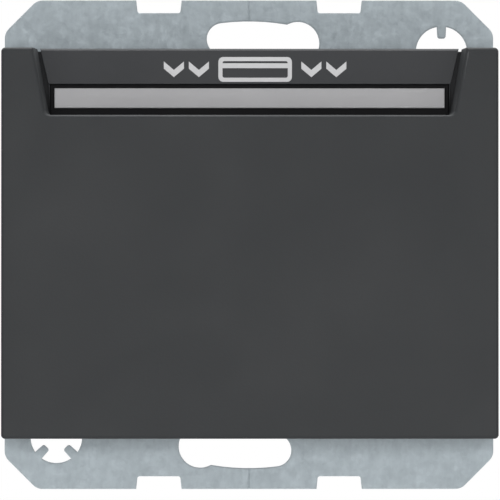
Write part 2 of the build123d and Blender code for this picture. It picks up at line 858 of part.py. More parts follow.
switch_pin_places = [(i * switch_pin_pitch, nose_z - switch_pin_shift) for i in (-1, 0, 1)]
lead_end = board_front + lead_stub
with BuildPart() as microswitch_pins:
    with BuildSketch(facing(board_front)):
        with Locations(*switch_pin_places):
            Rectangle(switch_pin_width, switch_pin_thickness)
    extrude(amount=-board_thickness - lead_stub)

# Pin header between the boards
with BuildPart() as link_header:
    header_half = header_count * header_pitch / 2
    block(
        (-header_half, header_half),
        (header_rise - header_side / 2, header_rise + header_side / 2),
        (board_front, board_front + header_height),
    )
    rods(header_places, header_pin_radius + thread_fit, (board_front, 0), Mode.SUBTRACT)

with BuildPart() as link_pins:
    rods(header_places, header_pin_radius, (board_back - lead_stub, led_board_front + small_round))

# Parts that stand on the rear of the power board
def standing_box(size, place, round_radius):
    """A box on the rear of the power board."""
    length, height, stand = size
    with BuildPart() as piece:
        with BuildSketch(facing(board_back)):
            with Locations(place):
                Rectangle(length, height)
        extrude(amount=-stand)
        fillet(piece.edges().filter_by(Axis.Y), radius=round_radius)
        fillet(piece.faces().sort_by(Axis.Y)[-1].edges(), radius=round_radius)
    return piece


def lying_rod(radius, length, place):
    """A rod along X that lies on the rear of the power board."""
    with BuildPart() as piece:
        with BuildSketch(Plane.YZ.offset(place[0])):
            with Locations((-board_back + radius, place[1])):
                Circle(radius)
        extrude(amount=length / 2, both=True)
    return piece


relay_case = standing_box(relay_size, relay_place, case_round)
film_capacitor = standing_box(film_size, film_place, case_round)
rectifier = standing_box(rectifier_size, rectifier_place, small_round)
fuse = lying_rod(fuse_radius, fuse_length, fuse_place)
series_resistor = lying_rod(resistor_radius, resistor_length, resistor_place)

with BuildPart() as electrolytic_capacitor:
    rods([can_place], can_radius, (board_back - can_length, board_back))
    fillet(electrolytic_capacitor.edges(), radius=small_round)
    groove_front = board_back - can_groove * 4
    with BuildSketch(facing(groove_front)):
        with Locations(can_place):
            Circle(can_radius + overrun)
            Circle(can_radius - can_groove / 2, mode=Mode.SUBTRACT)
    extrude(amount=-can_groove, mode=Mode.SUBTRACT)

with BuildPart() as varistor:
    disc_low = varistor_place[1] - varistor_thickness / 2
    with BuildSketch(Plane.XY.offset(disc_low)):
        with Locations((varistor_place[0], -board_back + varistor_radius)):
            Circle(varistor_radius)
    extrude(amount=varistor_thickness)
    fillet(varistor.edges().filter_by(GeomType.CIRCLE), radius=varistor_thickness / 4)

# Wire leads: places of those under a body, and of those beside a lying rod
relay_lead_shares = [(-0.42, -0.36), (-0.42, 0.36), (0.1, 0.0), (0.4, -0.36), (0.4, 0.36)]
pair_shares = [(-0.38, 0.0), (0.38, 0.0)]
quad_shares = [(-0.36, -0.3), (0.36, -0.3), (-0.36, 0.3), (0.36, 0.3)]
can_shares = [(-0.3, 0.0), (0.3, 0.0)]


def lead_places(place, size, shares):
    """Leads at shares of a body's length and height from its middle."""
    return [(place[0] + a * size[0], place[1] + b * size[1]) for a, b in shares]


can_box = (2 * can_radius, 2 * can_radius)
under_places = lead_places(relay_place, relay_size, relay_lead_shares)
under_places += lead_places(film_place, film_size, pair_shares)
under_places += lead_places(rectifier_place, rectifier_size, quad_shares)
under_places += lead_places(can_place, can_box, can_shares)
side_places = []
for place, length in ((fuse_place, fuse_length), (resistor_place, resistor_length)):
    reach = length / 2 + lead_radius
    side_places += [(place[0] - reach, place[1]), (place[0] + reach, place[1])]
disc_reach = varistor_radius + lead_radius
disc_places = [(varistor_place[0] + i * disc_reach, varistor_place[1]) for i in (-1, 1)]
with BuildPart() as component_leads:
    rods(under_places, lead_radius, (board_back, lead_end))
    rods(side_places, lead_radius, (board_back - resistor_radius - lead_radius, lead_end))
    rods(disc_places, lead_radius, (board_back - varistor_radius, lead_end))

# Power board, parallel to the wall
with BuildPart() as power_board:
    with BuildSketch(facing(board_back)):
        bevelled_square(2 * (housing_inner - board_play), inner_bevel)
        with Locations(*(under_places + side_places + disc_places)):
            Circle(lead_radius + lead_play, mode=Mode.SUBTRACT)
        with Locations(*header_places):
            Circle(header_pin_radius + lead_play, mode=Mode.SUBTRACT)
        with Locations(*switch_pin_places):
            pin_hole = (switch_pin_width + 2 * lead_play, switch_pin_thickness + 2 * lead_play)
            Rectangle(*pin_hole, mode=Mode.SUBTRACT)
        with Locations(*[(x, bar_z - bar_thickness / 2) for x in terminal_places]):
            bar_hole = (bar_width + 2 * lead_play, bar_thickness + 2 * lead_play)
            Rectangle(*bar_hole, mode=Mode.SUBTRACT)
    extrude(amount=board_thickness)

# Terminals: brass bars, and cages that their screws draw down onto them
bar_back = -(terminal_depth + bar_overhang)
with BuildPart() as terminal_bars:
    for x in terminal_places:
        widths = (x - bar_width / 2, x + bar_width / 2)
        block(widths, (bar_z - bar_thickness, bar_z), (bar_back, board_front))


def terminal_cage(x):
    with BuildPart() as piece:
        near, far = -terminal_depth + cage_length / 2, -terminal_depth - cage_length / 2
        block((x - cage_width / 2, x + cage_width / 2), (cage_bottom, cage_top), (far, near))
        fillet(piece.edges().filter_by(Axis.Y), radius=small_round)
        inner = cage_width / 2 - cage_wall
        window = (cage_bottom + cage_floor, cage_top - cage_roof)
        block((x - inner, x + inner), window, (far, near), mode=Mode.SUBTRACT)
        with BuildSketch(Plane.XY.offset(cage_bottom)):
            with Locations((x, terminal_depth)):
                Circle(terminal_screw_radius + screw_play)
        extrude(amount=cage_floor, mode=Mode.SUBTRACT)
    return piece


head_low = terminal_head_sink - housing_size / 2
head_high = head_low + terminal_head
tip_z = bar_z - bar_thickness - screw_tip_gap


def terminal_screw(x):
    with BuildPart() as piece:
        with BuildSketch(Plane.XY.offset(head_low)):
            with Locations((x, terminal_depth)):
                Circle(terminal_head_radius)
        extrude(amount=terminal_head)
        with BuildSketch(Plane.XY.offset(head_high)):
            with Locations((x, terminal_depth)):
                Circle(terminal_screw_radius)
        extrude(amount=tip_z - head_high)
        with BuildSketch(Plane.XY.offset(head_low)):
            with Locations((x, terminal_depth)):
                Rectangle(2 * terminal_head_radius, drive_width)
        extrude(amount=drive_depth, mode=Mode.SUBTRACT)
    return piece


terminal_cages = [terminal_cage(x) for x in terminal_places]
terminal_screws = [terminal_screw(x) for x in terminal_places]


# Mounting claws, one on each side
nut_out = claw_screw_x + claw_nut_width / 2
rest_angle = atan2(nut_out + claw_contact_gap - claw_pivot_x, claw_nut_start - claw_pivot_depth)


def claw_screw(side):
    x = side * claw_screw_x
    with BuildPart() as piece:
        rods([(x, 0)], claw_screw_head_radius, (plate_front, plate_front + claw_screw_head))
        rods([(x, 0)], claw_screw_radius, (plate_front - claw_screw_length, plate_front))
        with BuildSketch(facing(plate_front + claw_screw_head)):
            with Locations((x, 0)):
                Rectangle(2 * claw_screw_radius, drive_width)
                Rectangle(drive_width, 2 * claw_screw_radius)
        extrude(amount=-drive_depth, mode=Mode.SUBTRACT)
    return piece


def claw_nut(side):
    x = side * claw_screw_x
    half = claw_nut_width / 2
    with BuildPart() as piece:
        block(
            (x - half, x + half),
            (-claw_nut_height / 2, claw_nut_height / 2),
            (-claw_nut_start - claw_nut_depth, -claw_nut_start),
        )
        rods(
            [(x, 0)],
            claw_screw_radius + screw_play,
            (-claw_nut_start - claw_nut_depth, -claw_nut_start),
            Mode.SUBTRACT,
        )
    return piece


def claw(side):
    """Forked strip on two stubs, leaning out along the nut, with teeth at its end."""
    reach = (claw_reach - claw_pivot_depth) / cos(rest_angle)

    def on_claw(along, out):
        x = claw_pivot_x + along * sin(rest_angle) + out * cos(rest_angle)
        y = claw_pivot_depth + along * cos(rest_angle) - out * sin(rest_angle)
        return (side * x, y)

    with BuildPart() as piece:
        with BuildSketch(Plane.XY):
            Polygon(
                on_claw(0, 0),
                on_claw(reach, 0),
                on_claw(reach, claw_thickness + claw_flare),
                on_claw(reach - claw_flare_length, claw_thickness),
                on_claw(0, claw_thickness),
                align=None,
            )
            with Locations(on_claw(0, 0)):
                Circle(claw_hub_radius)
        extrude(amount=claw_width / 2, both=True)
        slot_end = claw_nut_start - claw_slot_margin
        block(
            sorted((side * claw_side, side * plate_half)),
            (-claw_slot / 2, claw_slot / 2),
            (-slot_end, 0),
            mode=Mode.SUBTRACT,
        )
        # Teeth along the free end
        with BuildSketch(Plane.YZ):
            for place in (-claw_width / 4, 0, claw_width / 4):
                Polygon(
                    (claw_reach + claw_flare, place - claw_tooth),
                    (claw_reach + claw_flare, place + claw_tooth),
                    (claw_reach - 2 * claw_tooth, place),
                    align=None,
                )
            for up in (-1, 1):
                Polygon(
                    (claw_reach + claw_flare, up * claw_width / 2),
                    (claw_reach + claw_flare, up * (claw_width / 2 - 2 * claw_tooth)),
                    (claw_reach - 4 * claw_tooth, up * claw_width / 2),
                    align=None,
                )
        extrude(amount=plate_half, both=True, mode=Mode.SUBTRACT)
        with BuildSketch(Plane.XY):
            with Locations(on_claw(0, 0)):
                Circle(claw_stub_radius)
        stub_end = cheek_near + claw_cheek - small_round
        extrude(amount=stub_end, both=True)
        block(
            sorted((side * claw_side, side * (claw_pivot_x + claw_hub_radius))),
            (-claw_slot / 2, claw_slot / 2),
            (-claw_pivot_depth - claw_hub_radius, 0),
            mode=Mode.SUBTRACT,
        )
    return piece


pieces = {
    "support_plate": support_plate,
    "front_cover": front_cover,
    "card_carrier": card_carrier,
    "carrier_screws": carrier_screws,
    "light_strip": light_strip,
    "led_board": led_board,
    "leds": leds,
    "link_header": link_header,
    "link_pins": link_pins,
    "insert_lid": insert_lid,
    "insert_housing": insert_housing,
    "insert_back": insert_back,
    "terminal_block": terminal_block,
    "housing_screws": housing_screws,
    "card_lever": card_lever,
    "lever_pin": lever_pin,
    "lever_spring": lever_spring,
    "microswitch_body": microswitch_body,
    "microswitch_plunger": microswitch_plunger,
    "microswitch_pins": microswitch_pins,
    "power_board": power_board,
    "relay_case": relay_case,
    "film_capacitor": film_capacitor,
    "electrolytic_capacitor": electrolytic_capacitor,
    "varistor": varistor,
    "rectifier": rectifier,
    "series_resistor": series_resistor,
    "fuse": fuse,
    "component_leads": component_leads,
    "terminal_bars": terminal_bars,
    "claw_screw_left": claw_screw(-1),
    "claw_screw_right": claw_screw(1),
    "claw_nut_left": claw_nut(-1),
    "claw_nut_right": claw_nut(1),
    "claw_left": claw(-1),
    "claw_right": claw(1),
}
for number, (cage, screw) in enumerate(zip(terminal_cages, terminal_screws), start=1):
    pieces[f"terminal_cage_{number}"] = cage
    pieces[f"terminal_screw_{number}"] = screw

os.makedirs("parts", exist_ok=True)
for name, piece in pieces.items():
    piece.part.label = name
    export_step(piece.part, f"parts/{name}.step")
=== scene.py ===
# %% [markdown]
# A hotel key card switch. A zinc-plated plate is screwed to the wall box, a deep plastic
# insert sits behind it, and an anthracite cover hides both. The card goes down between the
# cover and a long translucent strip. This script takes the exact solids as its frame and
# gives every one of them a finish. It also makes what the solids leave plain: screw
# threads, the coil of the lever's spring, the printed band above the slot and the thin
# black frame round the strip, whose black is painted shade.

# %% The frame
import bpy, bmesh, json, math
from mathutils import Matrix, Vector


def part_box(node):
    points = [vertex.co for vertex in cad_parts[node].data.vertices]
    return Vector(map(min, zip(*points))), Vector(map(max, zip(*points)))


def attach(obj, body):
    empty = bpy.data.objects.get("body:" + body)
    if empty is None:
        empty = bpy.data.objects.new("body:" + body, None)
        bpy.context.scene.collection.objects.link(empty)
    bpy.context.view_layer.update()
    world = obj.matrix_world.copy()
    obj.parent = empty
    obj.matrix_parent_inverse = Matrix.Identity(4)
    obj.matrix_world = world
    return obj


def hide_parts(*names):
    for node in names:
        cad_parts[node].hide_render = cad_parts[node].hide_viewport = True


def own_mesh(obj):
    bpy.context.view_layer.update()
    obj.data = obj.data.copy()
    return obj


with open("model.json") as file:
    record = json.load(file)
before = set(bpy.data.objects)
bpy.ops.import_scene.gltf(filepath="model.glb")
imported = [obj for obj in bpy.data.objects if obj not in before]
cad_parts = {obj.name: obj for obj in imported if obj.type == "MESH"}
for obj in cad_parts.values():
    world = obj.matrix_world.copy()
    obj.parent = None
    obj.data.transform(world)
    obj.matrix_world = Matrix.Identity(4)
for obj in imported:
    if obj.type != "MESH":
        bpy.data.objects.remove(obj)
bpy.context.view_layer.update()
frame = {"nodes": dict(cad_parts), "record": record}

nodes = frame["nodes"]
slot_of = {part["node"]: part["material_slot"] for part in frame["record"]["subparts"]}
print("solids:", len(nodes), "finishes:", len(set(slot_of.values())))

# %% [markdown]
# A material is a small tree of nodes. The helpers below add a node, fill in its inputs, reckon
# with other nodes, place a texture on the piece and move a mask to another range. An input
# takes a plain value or a link alike, so that each finish can be read from top to bottom.

# %% Helpers for node trees
def feed(tree, value, socket):
    """Links a socket that is given, or sets a plain value."""
    if isinstance(value, bpy.types.NodeSocket):
        tree.links.new(value, socket)
    else:
        socket.default_value = value


def fill_in(tree, node, **inputs):
    """Feeds the named inputs of a node."""
    for name, value in inputs.items():
        feed(tree, value, node.inputs[name.replace("_", " ")])


def add(tree, kind, settings=None, **inputs):
    """A node with its settings and its inputs filled in."""
    node = tree.nodes.new(kind)
    for name, value in (settings or {}).items():
        setattr(node, name, value)
    fill_in(tree, node, **inputs)
    return node


def reckon(tree, operation, *terms, kind="ShaderNodeMath", output=0):
    """A Math or Vector Math node on sockets and plain values."""
    node = add(tree, kind, {"operation": operation})
    for socket, term in zip(node.inputs, terms):
        feed(tree, term, socket)
    return node.outputs[output]


def on_object(tree, kind, settings=None, **inputs):
    """A texture, or another node with a vector, that reads the piece's own coordinates."""
    where = add(tree, "ShaderNodeTexCoord").outputs["Object"]
    return add(tree, kind, settings, Vector=where, **inputs)


def span(tree, mask, low, high, source=(0, 1)):
    """Moves a mask from its own range to another one."""
    return add(tree, "ShaderNodeMapRange", Value=mask, From_Min=source[0], From_Max=source[1],
               To_Min=low, To_Max=high).outputs["Result"]


helpers = (feed, fill_in, add, reckon, on_object, span)
print("helpers:", ", ".join(helper.__name__ for helper in helpers))

# %% [markdown]
# The next helpers start a material and make what it ends in: a tone of a colour, a blend of
# two, and a relief. A value that is the same all over the surface is set on the shader
# itself. A noise texture rarely leaves the middle of its range, so a mask made from it
# stretches one of the three ranges that are named here.

# %% Helpers for materials
noise_wide, noise_middle, noise_narrow = (0.25, 0.75), (0.3, 0.7), (0.35, 0.65)


def start_material(name):
    """A new material, its tree and its shader."""
    material = bpy.data.materials.new(name)
    material.use_nodes = True
    return material, material.node_tree, material.node_tree.nodes["Principled BSDF"]


def tone(colour, factor):
    """A darker or lighter tone of a colour."""
    return [min(1.0, part * factor) for part in colour]


def blend_colours(tree, mask, dark, light):
    """Mixes two colours, each plain or from another node, by a mask."""
    mix = add(tree, "ShaderNodeMix", {"data_type": "RGBA"})
    feed(tree, mask, mix.inputs[0])
    for place, colour in ((6, dark), (7, light)):
        linked = isinstance(colour, bpy.types.NodeSocket)
        feed(tree, colour if linked else (*colour, 1), mix.inputs[place])
    return mix.outputs[2]


def raise_relief(tree, shader, height, distance, strength=1.0, settings=None, **normal):
    """A relief of the given depth on the shader, over the normal of rounded edges if given."""
    bump = add(tree, "ShaderNodeBump", settings, Height=height, Distance=distance,
               Strength=strength, **normal)
    fill_in(tree, shader, Normal=bump.outputs["Normal"])


print("noise ranges:", noise_wide, noise_middle, noise_narrow)

# %% [markdown]
# Some effects belong to more than one finish, so each is a node group with named inputs.
# The first finds edges: the Bevel node gives the normal that a rounded edge would have,
# and where it leaves the real normal there is an edge. Handling polishes plastic there and
# rubs the plating of metal thin. On the cover, the carrier and the plate the lighter colour
# there is also a painted highlight, the light line of a rounded edge. Edges painted into a
# texture would need a UV map for each solid, and this needs none.

# %% Group: worn and highlit edges
groups = {}
flat_cosine, edge_cosine = 0.995, 0.8


def start_group(name, inputs, outputs):
    """A shader group with float inputs and the given outputs."""
    group = bpy.data.node_groups.new(name, "ShaderNodeTree")
    for socket, value in inputs.items():
        made = group.interface.new_socket(socket, in_out="INPUT", socket_type="NodeSocketFloat")
        made.default_value = value
    for socket, kind in outputs.items():
        group.interface.new_socket(socket, in_out="OUTPUT", socket_type="NodeSocket" + kind)
    return group, group.nodes.new("NodeGroupInput"), group.nodes.new("NodeGroupOutput")


def worn_and_highlit_edges():
    group, given, result = start_group(
        "worn_and_highlit_edges", {"Radius": 0.0002, "Breakup": 900.0},
        {"Edge": "Float", "Normal": "Vector"})
    bevel = add(group, "ShaderNodeBevel", {"samples": 6}, Radius=given.outputs["Radius"])
    rounded = bevel.outputs["Normal"]
    real = add(group, "ShaderNodeNewGeometry").outputs["Normal"]
    cosine = reckon(group, "DOT_PRODUCT", rounded, real, kind="ShaderNodeVectorMath", output=1)
    edge = span(group, cosine, 0.0, 1.0, (flat_cosine, edge_cosine))
    noise = on_object(group, "ShaderNodeTexNoise", Scale=given.outputs["Breakup"], Detail=3.0)
    patchy = span(group, noise.outputs[0], 0.35, 1.0, noise_narrow)
    fill_in(group, result, Edge=reckon(group, "MULTIPLY", edge, patchy), Normal=rounded)
    return group


groups["worn_and_highlit_edges"] = worn_and_highlit_edges()
print("worn_and_highlit_edges:", len(groups["worn_and_highlit_edges"].nodes), "nodes")

# %% [markdown]
# Moulded plastic takes the fine pitted texture of its tool, and it is never one flat
# colour: where it flowed and cooled there are faint clouds. This group gives both, the
# pits as a height and the clouds as a mask.

# %% Group: moulded surface
def moulded_surface():
    group, given, result = start_group(
        "moulded_surface", {"Pits": 2600.0, "Clouds": 55.0}, {"Height": "Float", "Cloud": "Float"})
    scale = given.outputs["Pits"]
    fine = on_object(group, "ShaderNodeTexNoise", Scale=scale, Detail=2.0, Roughness=0.6)
    pits = on_object(group, "ShaderNodeTexVoronoi", {"feature": "SMOOTH_F1"}, Scale=scale,
                     Smoothness=0.6)
    cloud = on_object(group, "ShaderNodeTexNoise", Scale=given.outputs["Clouds"], Detail=4.0,
                      Roughness=0.55, Distortion=0.4)
    pit_share = 0.6
    height = reckon(group, "MULTIPLY_ADD", pits.outputs["Distance"], pit_share, fine.outputs[0])
    fill_in(group, result, Height=height,
            Cloud=span(group, cloud.outputs[0], 0.0, 1.0, noise_middle))
    return group


groups["moulded_surface"] = moulded_surface()
print("moulded_surface:", len(groups["moulded_surface"].nodes), "nodes")

# %% [markdown]
# Zinc grows in crystals, so the plate is mottled: flakes of half a millimetre that are each
# a little lighter or darker, blurred by the dull film on them. A Voronoi texture gives the
# flakes, and a noise that moves its coordinates takes away the straight cell borders. The
# sheet was rolled before it was plated, so a third noise, stretched along the height of the
# plate, lays short streaks over it.

# %% Group: zinc flakes
def zinc_flakes():
    group, given, result = start_group(
        "zinc_flakes", {"Flakes": 620.0, "Film": 160.0, "Streaks": 1700.0},
        {"Flake": "Float", "Film": "Float", "Streak": "Float", "Height": "Float"})
    where = add(group, "ShaderNodeTexCoord").outputs["Object"]
    bend = on_object(group, "ShaderNodeTexNoise", Scale=1800.0, Detail=3.0)
    reach = (0.0006, 0.0006, 0.0006)
    bent = reckon(group, "MULTIPLY_ADD", bend.outputs["Color"], reach, where,
                  kind="ShaderNodeVectorMath")
    cells = add(group, "ShaderNodeTexVoronoi", Vector=bent, Scale=given.outputs["Flakes"],
                Randomness=1.0)
    flake = add(group, "ShaderNodeSeparateColor", Color=cells.outputs["Color"]).outputs[0]
    film = on_object(group, "ShaderNodeTexNoise", Scale=given.outputs["Film"], Detail=6.0,
                     Roughness=0.65)
    along_sheet = (1.0, 1.0, 0.3)
    rolled = reckon(group, "MULTIPLY", where, along_sheet, kind="ShaderNodeVectorMath")
    streak = add(group, "ShaderNodeTexNoise", Vector=rolled, Scale=given.outputs["Streaks"],
                 Detail=3.0, Roughness=0.6)
    fine = on_object(group, "ShaderNodeTexNoise", Scale=3200.0, Detail=2.0)
    fill_in(group, result, Flake=flake, Height=fine.outputs[0],
            Film=span(group, film.outputs[0], 0.0, 1.0, noise_middle),
            Streak=span(group, streak.outputs[0], 0.0, 1.0, noise_wide))
    return group


groups["zinc_flakes"] = zinc_flakes()
print("zinc_flakes:", len(groups["zinc_flakes"].nodes), "nodes")

# %% [markdown]
# Turned, drawn and ground metal has fine lines along one direction. Stretching a noise along
# that direction gives them, so the group takes a scale for each axis.

# %% Group: drawn lines
def drawn_lines():
    group, given, result = start_group(
        "drawn_lines", {"Along X": 3000.0, "Along Y": 150.0, "Along Z": 3000.0}, {"Line": "Float"})
    scale = add(group, "ShaderNodeCombineXYZ",
                **{axis: given.outputs["Along " + axis] for axis in "XYZ"})
    where = add(group, "ShaderNodeTexCoord").outputs["Object"]
    stretch = reckon(group, "MULTIPLY", where, scale.outputs[0], kind="ShaderNodeVectorMath")
    noise = add(group, "ShaderNodeTexNoise", Vector=stretch, Scale=1.0, Detail=4.0, Roughness=0.7)
    fill_in(group, result, Line=span(group, noise.outputs[0], 0.0, 1.0, noise_wide))
    return group


groups["drawn_lines"] = drawn_lines()
print("drawn_lines:", len(groups["drawn_lines"].nodes), "nodes")

# %% [markdown]
# A group is placed in a material like any other node. Its inputs then hold that material's
# own values, so the same edge wear can be wide on the plate and narrow on a pin.

# %% Placing a group
def use_group(tree, name, **inputs):
    """The outputs of a group that is placed in a material."""
    return add(tree, "ShaderNodeGroup", {"node_tree": groups[name]}, **inputs).outputs


print("shader groups:", sorted(groups))

# %% [markdown]
# The plastics share one recipe: clouds in the colour, edges a little lighter and smoother,
# and a bump from the tool's texture. The lighter edge is wear, and on the cover and the
# carrier it is lifted so far that it is mostly a painted highlight. Only the numbers differ,
# so one function makes them all. The cover's anthracite is very dark, and most of what the
# eye sees there is sheen, which is why its roughness matters more than its colour.

# %% Moulded plastics
edge_polish = -0.08


def moulded_plastic(name, colour, rough=0.5, pits=2600.0, depth=0.000012, clouds=0.03,
                    edge_wear_and_highlight=1.35, edge_radius=0.0002, level=0.5):
    material, tree, shader = start_material(name)
    surface = use_group(tree, "moulded_surface", Pits=pits)
    edges = use_group(tree, "worn_and_highlit_edges", Radius=edge_radius)
    body = blend_colours(tree, surface["Cloud"],
                         tone(colour, 1 - clouds), tone(colour, 1 + clouds))
    dull = span(tree, surface["Cloud"], rough - 0.04, rough + 0.05)
    fill_in(tree, shader, Specular_IOR_Level=level,
            Base_Color=blend_colours(tree, edges["Edge"], body, tone(colour, edge_wear_and_highlight)),
            Roughness=reckon(tree, "MULTIPLY_ADD", edges["Edge"], edge_polish, dull))
    raise_relief(tree, shader, surface["Height"], depth, Normal=edges["Normal"])
    return material


plastics = {
    # The cover's and the carrier's edges, lifted to 2.3, are mostly a painted highlight: the light
    # line along their rounded top edges, with a little wear.
    "anthracite_cover": dict(colour=(0.0270, 0.0290, 0.0308), rough=0.56, level=0.2,
                             edge_wear_and_highlight=2.3),
    "anthracite_carrier": dict(colour=(0.0365, 0.0383, 0.0415), rough=0.56, level=0.2,
                               edge_wear_and_highlight=2.3),
    "black_plastic": dict(colour=(0.022, 0.022, 0.023), rough=0.45),
    "insert_black": dict(colour=(0.035, 0.035, 0.037), rough=0.5, pits=1800.0),
    "insert_grey": dict(colour=(0.42, 0.43, 0.44), rough=0.48, edge_wear_and_highlight=1.12),
    "lever_white": dict(colour=(0.75, 0.75, 0.72), rough=0.38, edge_wear_and_highlight=1.05),
    "plunger_red": dict(colour=(0.50, 0.035, 0.028), rough=0.4),
    "relay_black": dict(colour=(0.025, 0.026, 0.030), rough=0.36, pits=3400.0),
    "film_yellow": dict(colour=(0.72, 0.47, 0.05), rough=0.34, edge_wear_and_highlight=1.1),
    "varistor_blue": dict(colour=(0.03, 0.10, 0.40), rough=0.28, clouds=0.12, depth=0.00003,
                          pits=900.0),
}
finishes = {name: moulded_plastic(name, **look) for name, look in plastics.items()}
print("plastics:", len(finishes))

# %% [markdown]
# The metals share another recipe. Its base is one tone with flakes and film in it, and its
# roughness changes with the film. A plated sheet is not a mirror: the plate on the wall
# looks like dull grey paper with faint blue in it, so it is rough, and only partly metallic
# where the film is thick.

# %% Plated metals
def plated_metal(name, dark, light, rough=0.42, flakes=620.0, film=160.0, metal=(0.55, 0.85),
                 edge_radius=0.00015, edge_wear_and_highlight=1.15, depth=0.000006, shares=(0.5, 0.4, 0.1)):
    """Shares say how much flakes, film and streaks each change the colour."""
    material, tree, shader = start_material(name)
    zinc = use_group(tree, "zinc_flakes", Flakes=flakes, Film=film)
    edges = use_group(tree, "worn_and_highlit_edges", Radius=edge_radius)
    mottle = span(tree, zinc["Film"], 0.0, shares[1])
    for output, share in (("Flake", shares[0]), ("Streak", shares[2])):
        mottle = reckon(tree, "MULTIPLY_ADD", zinc[output], share, mottle)
    body = blend_colours(tree, mottle, dark, light)
    fill_in(tree, shader,
            Base_Color=blend_colours(tree, edges["Edge"], body, tone(light, edge_wear_and_highlight)),
            Roughness=span(tree, zinc["Film"], rough - 0.07, rough + 0.09),
            Metallic=span(tree, zinc["Film"], metal[1], metal[0]))
    raise_relief(tree, shader, zinc["Height"], depth, Normal=edges["Normal"])
    return material


plated = {
    # The plate's wide band of lighter edge is partly wear and partly a painted highlight: the
    # light rim line along its rounded stamped edges.
    "zinc_sheet": dict(dark=(0.276, 0.316, 0.342), light=(0.368, 0.420, 0.447), rough=0.56,
                       flakes=2000.0, film=620.0, metal=(0.15, 0.25), edge_radius=0.00035,
                       edge_wear_and_highlight=1.45, shares=(0.35, 0.2, 0.45)),
    "claw_steel": dict(dark=(0.30, 0.32, 0.33), light=(0.43, 0.45, 0.46), rough=0.36,
                       flakes=1100.0, metal=(0.8, 1.0)),
    "cage_zinc": dict(dark=(0.40, 0.40, 0.38), light=(0.58, 0.58, 0.55), rough=0.34,
                      flakes=1300.0, metal=(0.85, 1.0)),
    "zinc_screw": dict(dark=(0.30, 0.31, 0.32), light=(0.42, 0.43, 0.44), rough=0.36,
                       flakes=1600.0, metal=(0.9, 1.0), edge_wear_and_highlight=1.1),
}
finishes |= {name: plated_metal(name, **look) for name, look in plated.items()}
print("with plated metals:", len(finishes))

# %% [markdown]
# Brass bars, pins and spring wire are bare metal, drawn or rolled. They are fully metallic,
# and the drawn lines change their tone and their roughness together. The scales are large
# across the lines and small along them.

# %% Drawn metals
line_depth = 0.000005


def lines_on(tree, scales):
    """The drawn lines, with a scale for each axis."""
    sockets = {"Along_" + axis: scale for axis, scale in zip("XYZ", scales)}
    return use_group(tree, "drawn_lines", **sockets)["Line"]


def drawn_metal(name, dark, light, lines, rough=0.3, edge_radius=0.0001):
    """Metal with fine lines along the axis whose scale is the smallest."""
    material, tree, shader = start_material(name)
    line = lines_on(tree, lines)
    edges = use_group(tree, "worn_and_highlit_edges", Radius=edge_radius)
    body = blend_colours(tree, line, dark, light)
    fill_in(tree, shader, Metallic=1.0,
            Base_Color=blend_colours(tree, edges["Edge"], body, tone(light, 1.1)),
            Roughness=span(tree, line, rough + 0.08, rough - 0.06))
    raise_relief(tree, shader, line, line_depth, Normal=edges["Normal"])
    return material


drawn = {
    "terminal_brass": dict(dark=(0.52, 0.37, 0.13), light=(0.72, 0.54, 0.22),
                           lines=(3000.0, 160.0, 3000.0)),
    "tinned_pin": dict(dark=(0.52, 0.52, 0.50), light=(0.74, 0.74, 0.71),
                       lines=(3000.0, 200.0, 3000.0), rough=0.24),
    "steel_pin": dict(dark=(0.42, 0.42, 0.43), light=(0.62, 0.62, 0.62),
                      lines=(200.0, 3200.0, 3200.0), rough=0.22),
    "spring_steel": dict(dark=(0.34, 0.34, 0.35), light=(0.55, 0.55, 0.56),
                         lines=(2600.0, 2600.0, 900.0), rough=0.26),
}
finishes |= {name: drawn_metal(name, **look) for name, look in drawn.items()}
print("with drawn metals:", len(finishes))

# %% [markdown]
# The strip is a light guide of frosted plastic. It has to look deep and milky with the
# lamps behind it off, as in the photograph. Transmission would show the dark board behind
# it, so a little subsurface light is added to a pale grey, and a faint ripple bends its
# gloss. The small lamps are moulded from the same kind of plastic, tinted yellow.

# %% Light strip and lamps
scatter_depth = 0.0006


def frosted_strip(name, colour, rough, scatter, ripple):
    material, tree, shader = start_material(name)
    surface = use_group(tree, "moulded_surface", Pits=1500.0, Clouds=120.0)
    edges = use_group(tree, "worn_and_highlit_edges", Radius=0.0002)
    body = blend_colours(tree, surface["Cloud"], tone(colour, 0.96), tone(colour, 1.04))
    fill_in(tree, shader, Subsurface_Weight=scatter, Subsurface_Radius=(1.0, 1.0, 1.0),
            Subsurface_Scale=scatter_depth,
            Base_Color=blend_colours(tree, edges["Edge"], body, tone(colour, 1.2)),
            Roughness=span(tree, surface["Cloud"], rough - 0.03, rough + 0.04))
    raise_relief(tree, shader, surface["Height"], ripple, Normal=edges["Normal"])
    return material


frosted = {
    "translucent_strip": dict(colour=(0.400, 0.398, 0.410), rough=0.42, scatter=0.2,
                              ripple=0.000008),
    "led_yellow": dict(colour=(0.80, 0.72, 0.36), rough=0.25, scatter=0.4, ripple=0.000004),
}
finishes |= {name: frosted_strip(name, **look) for name, look in frosted.items()}
print("frosted:", sorted(frosted))

# %% [markdown]
# A circuit board is green lacquer over copper tracks, which show as slightly lighter
# raised lines. A Brick texture whose rows are shifted and squashed looks like a field of
# tracks that turn at right angles, and its mortar is the gap between them.

# %% Circuit boards
over_copper, in_gaps = (0.035, 0.20, 0.085), (0.014, 0.105, 0.045)
lacquer_cloud = (0.03, 0.17, 0.075)


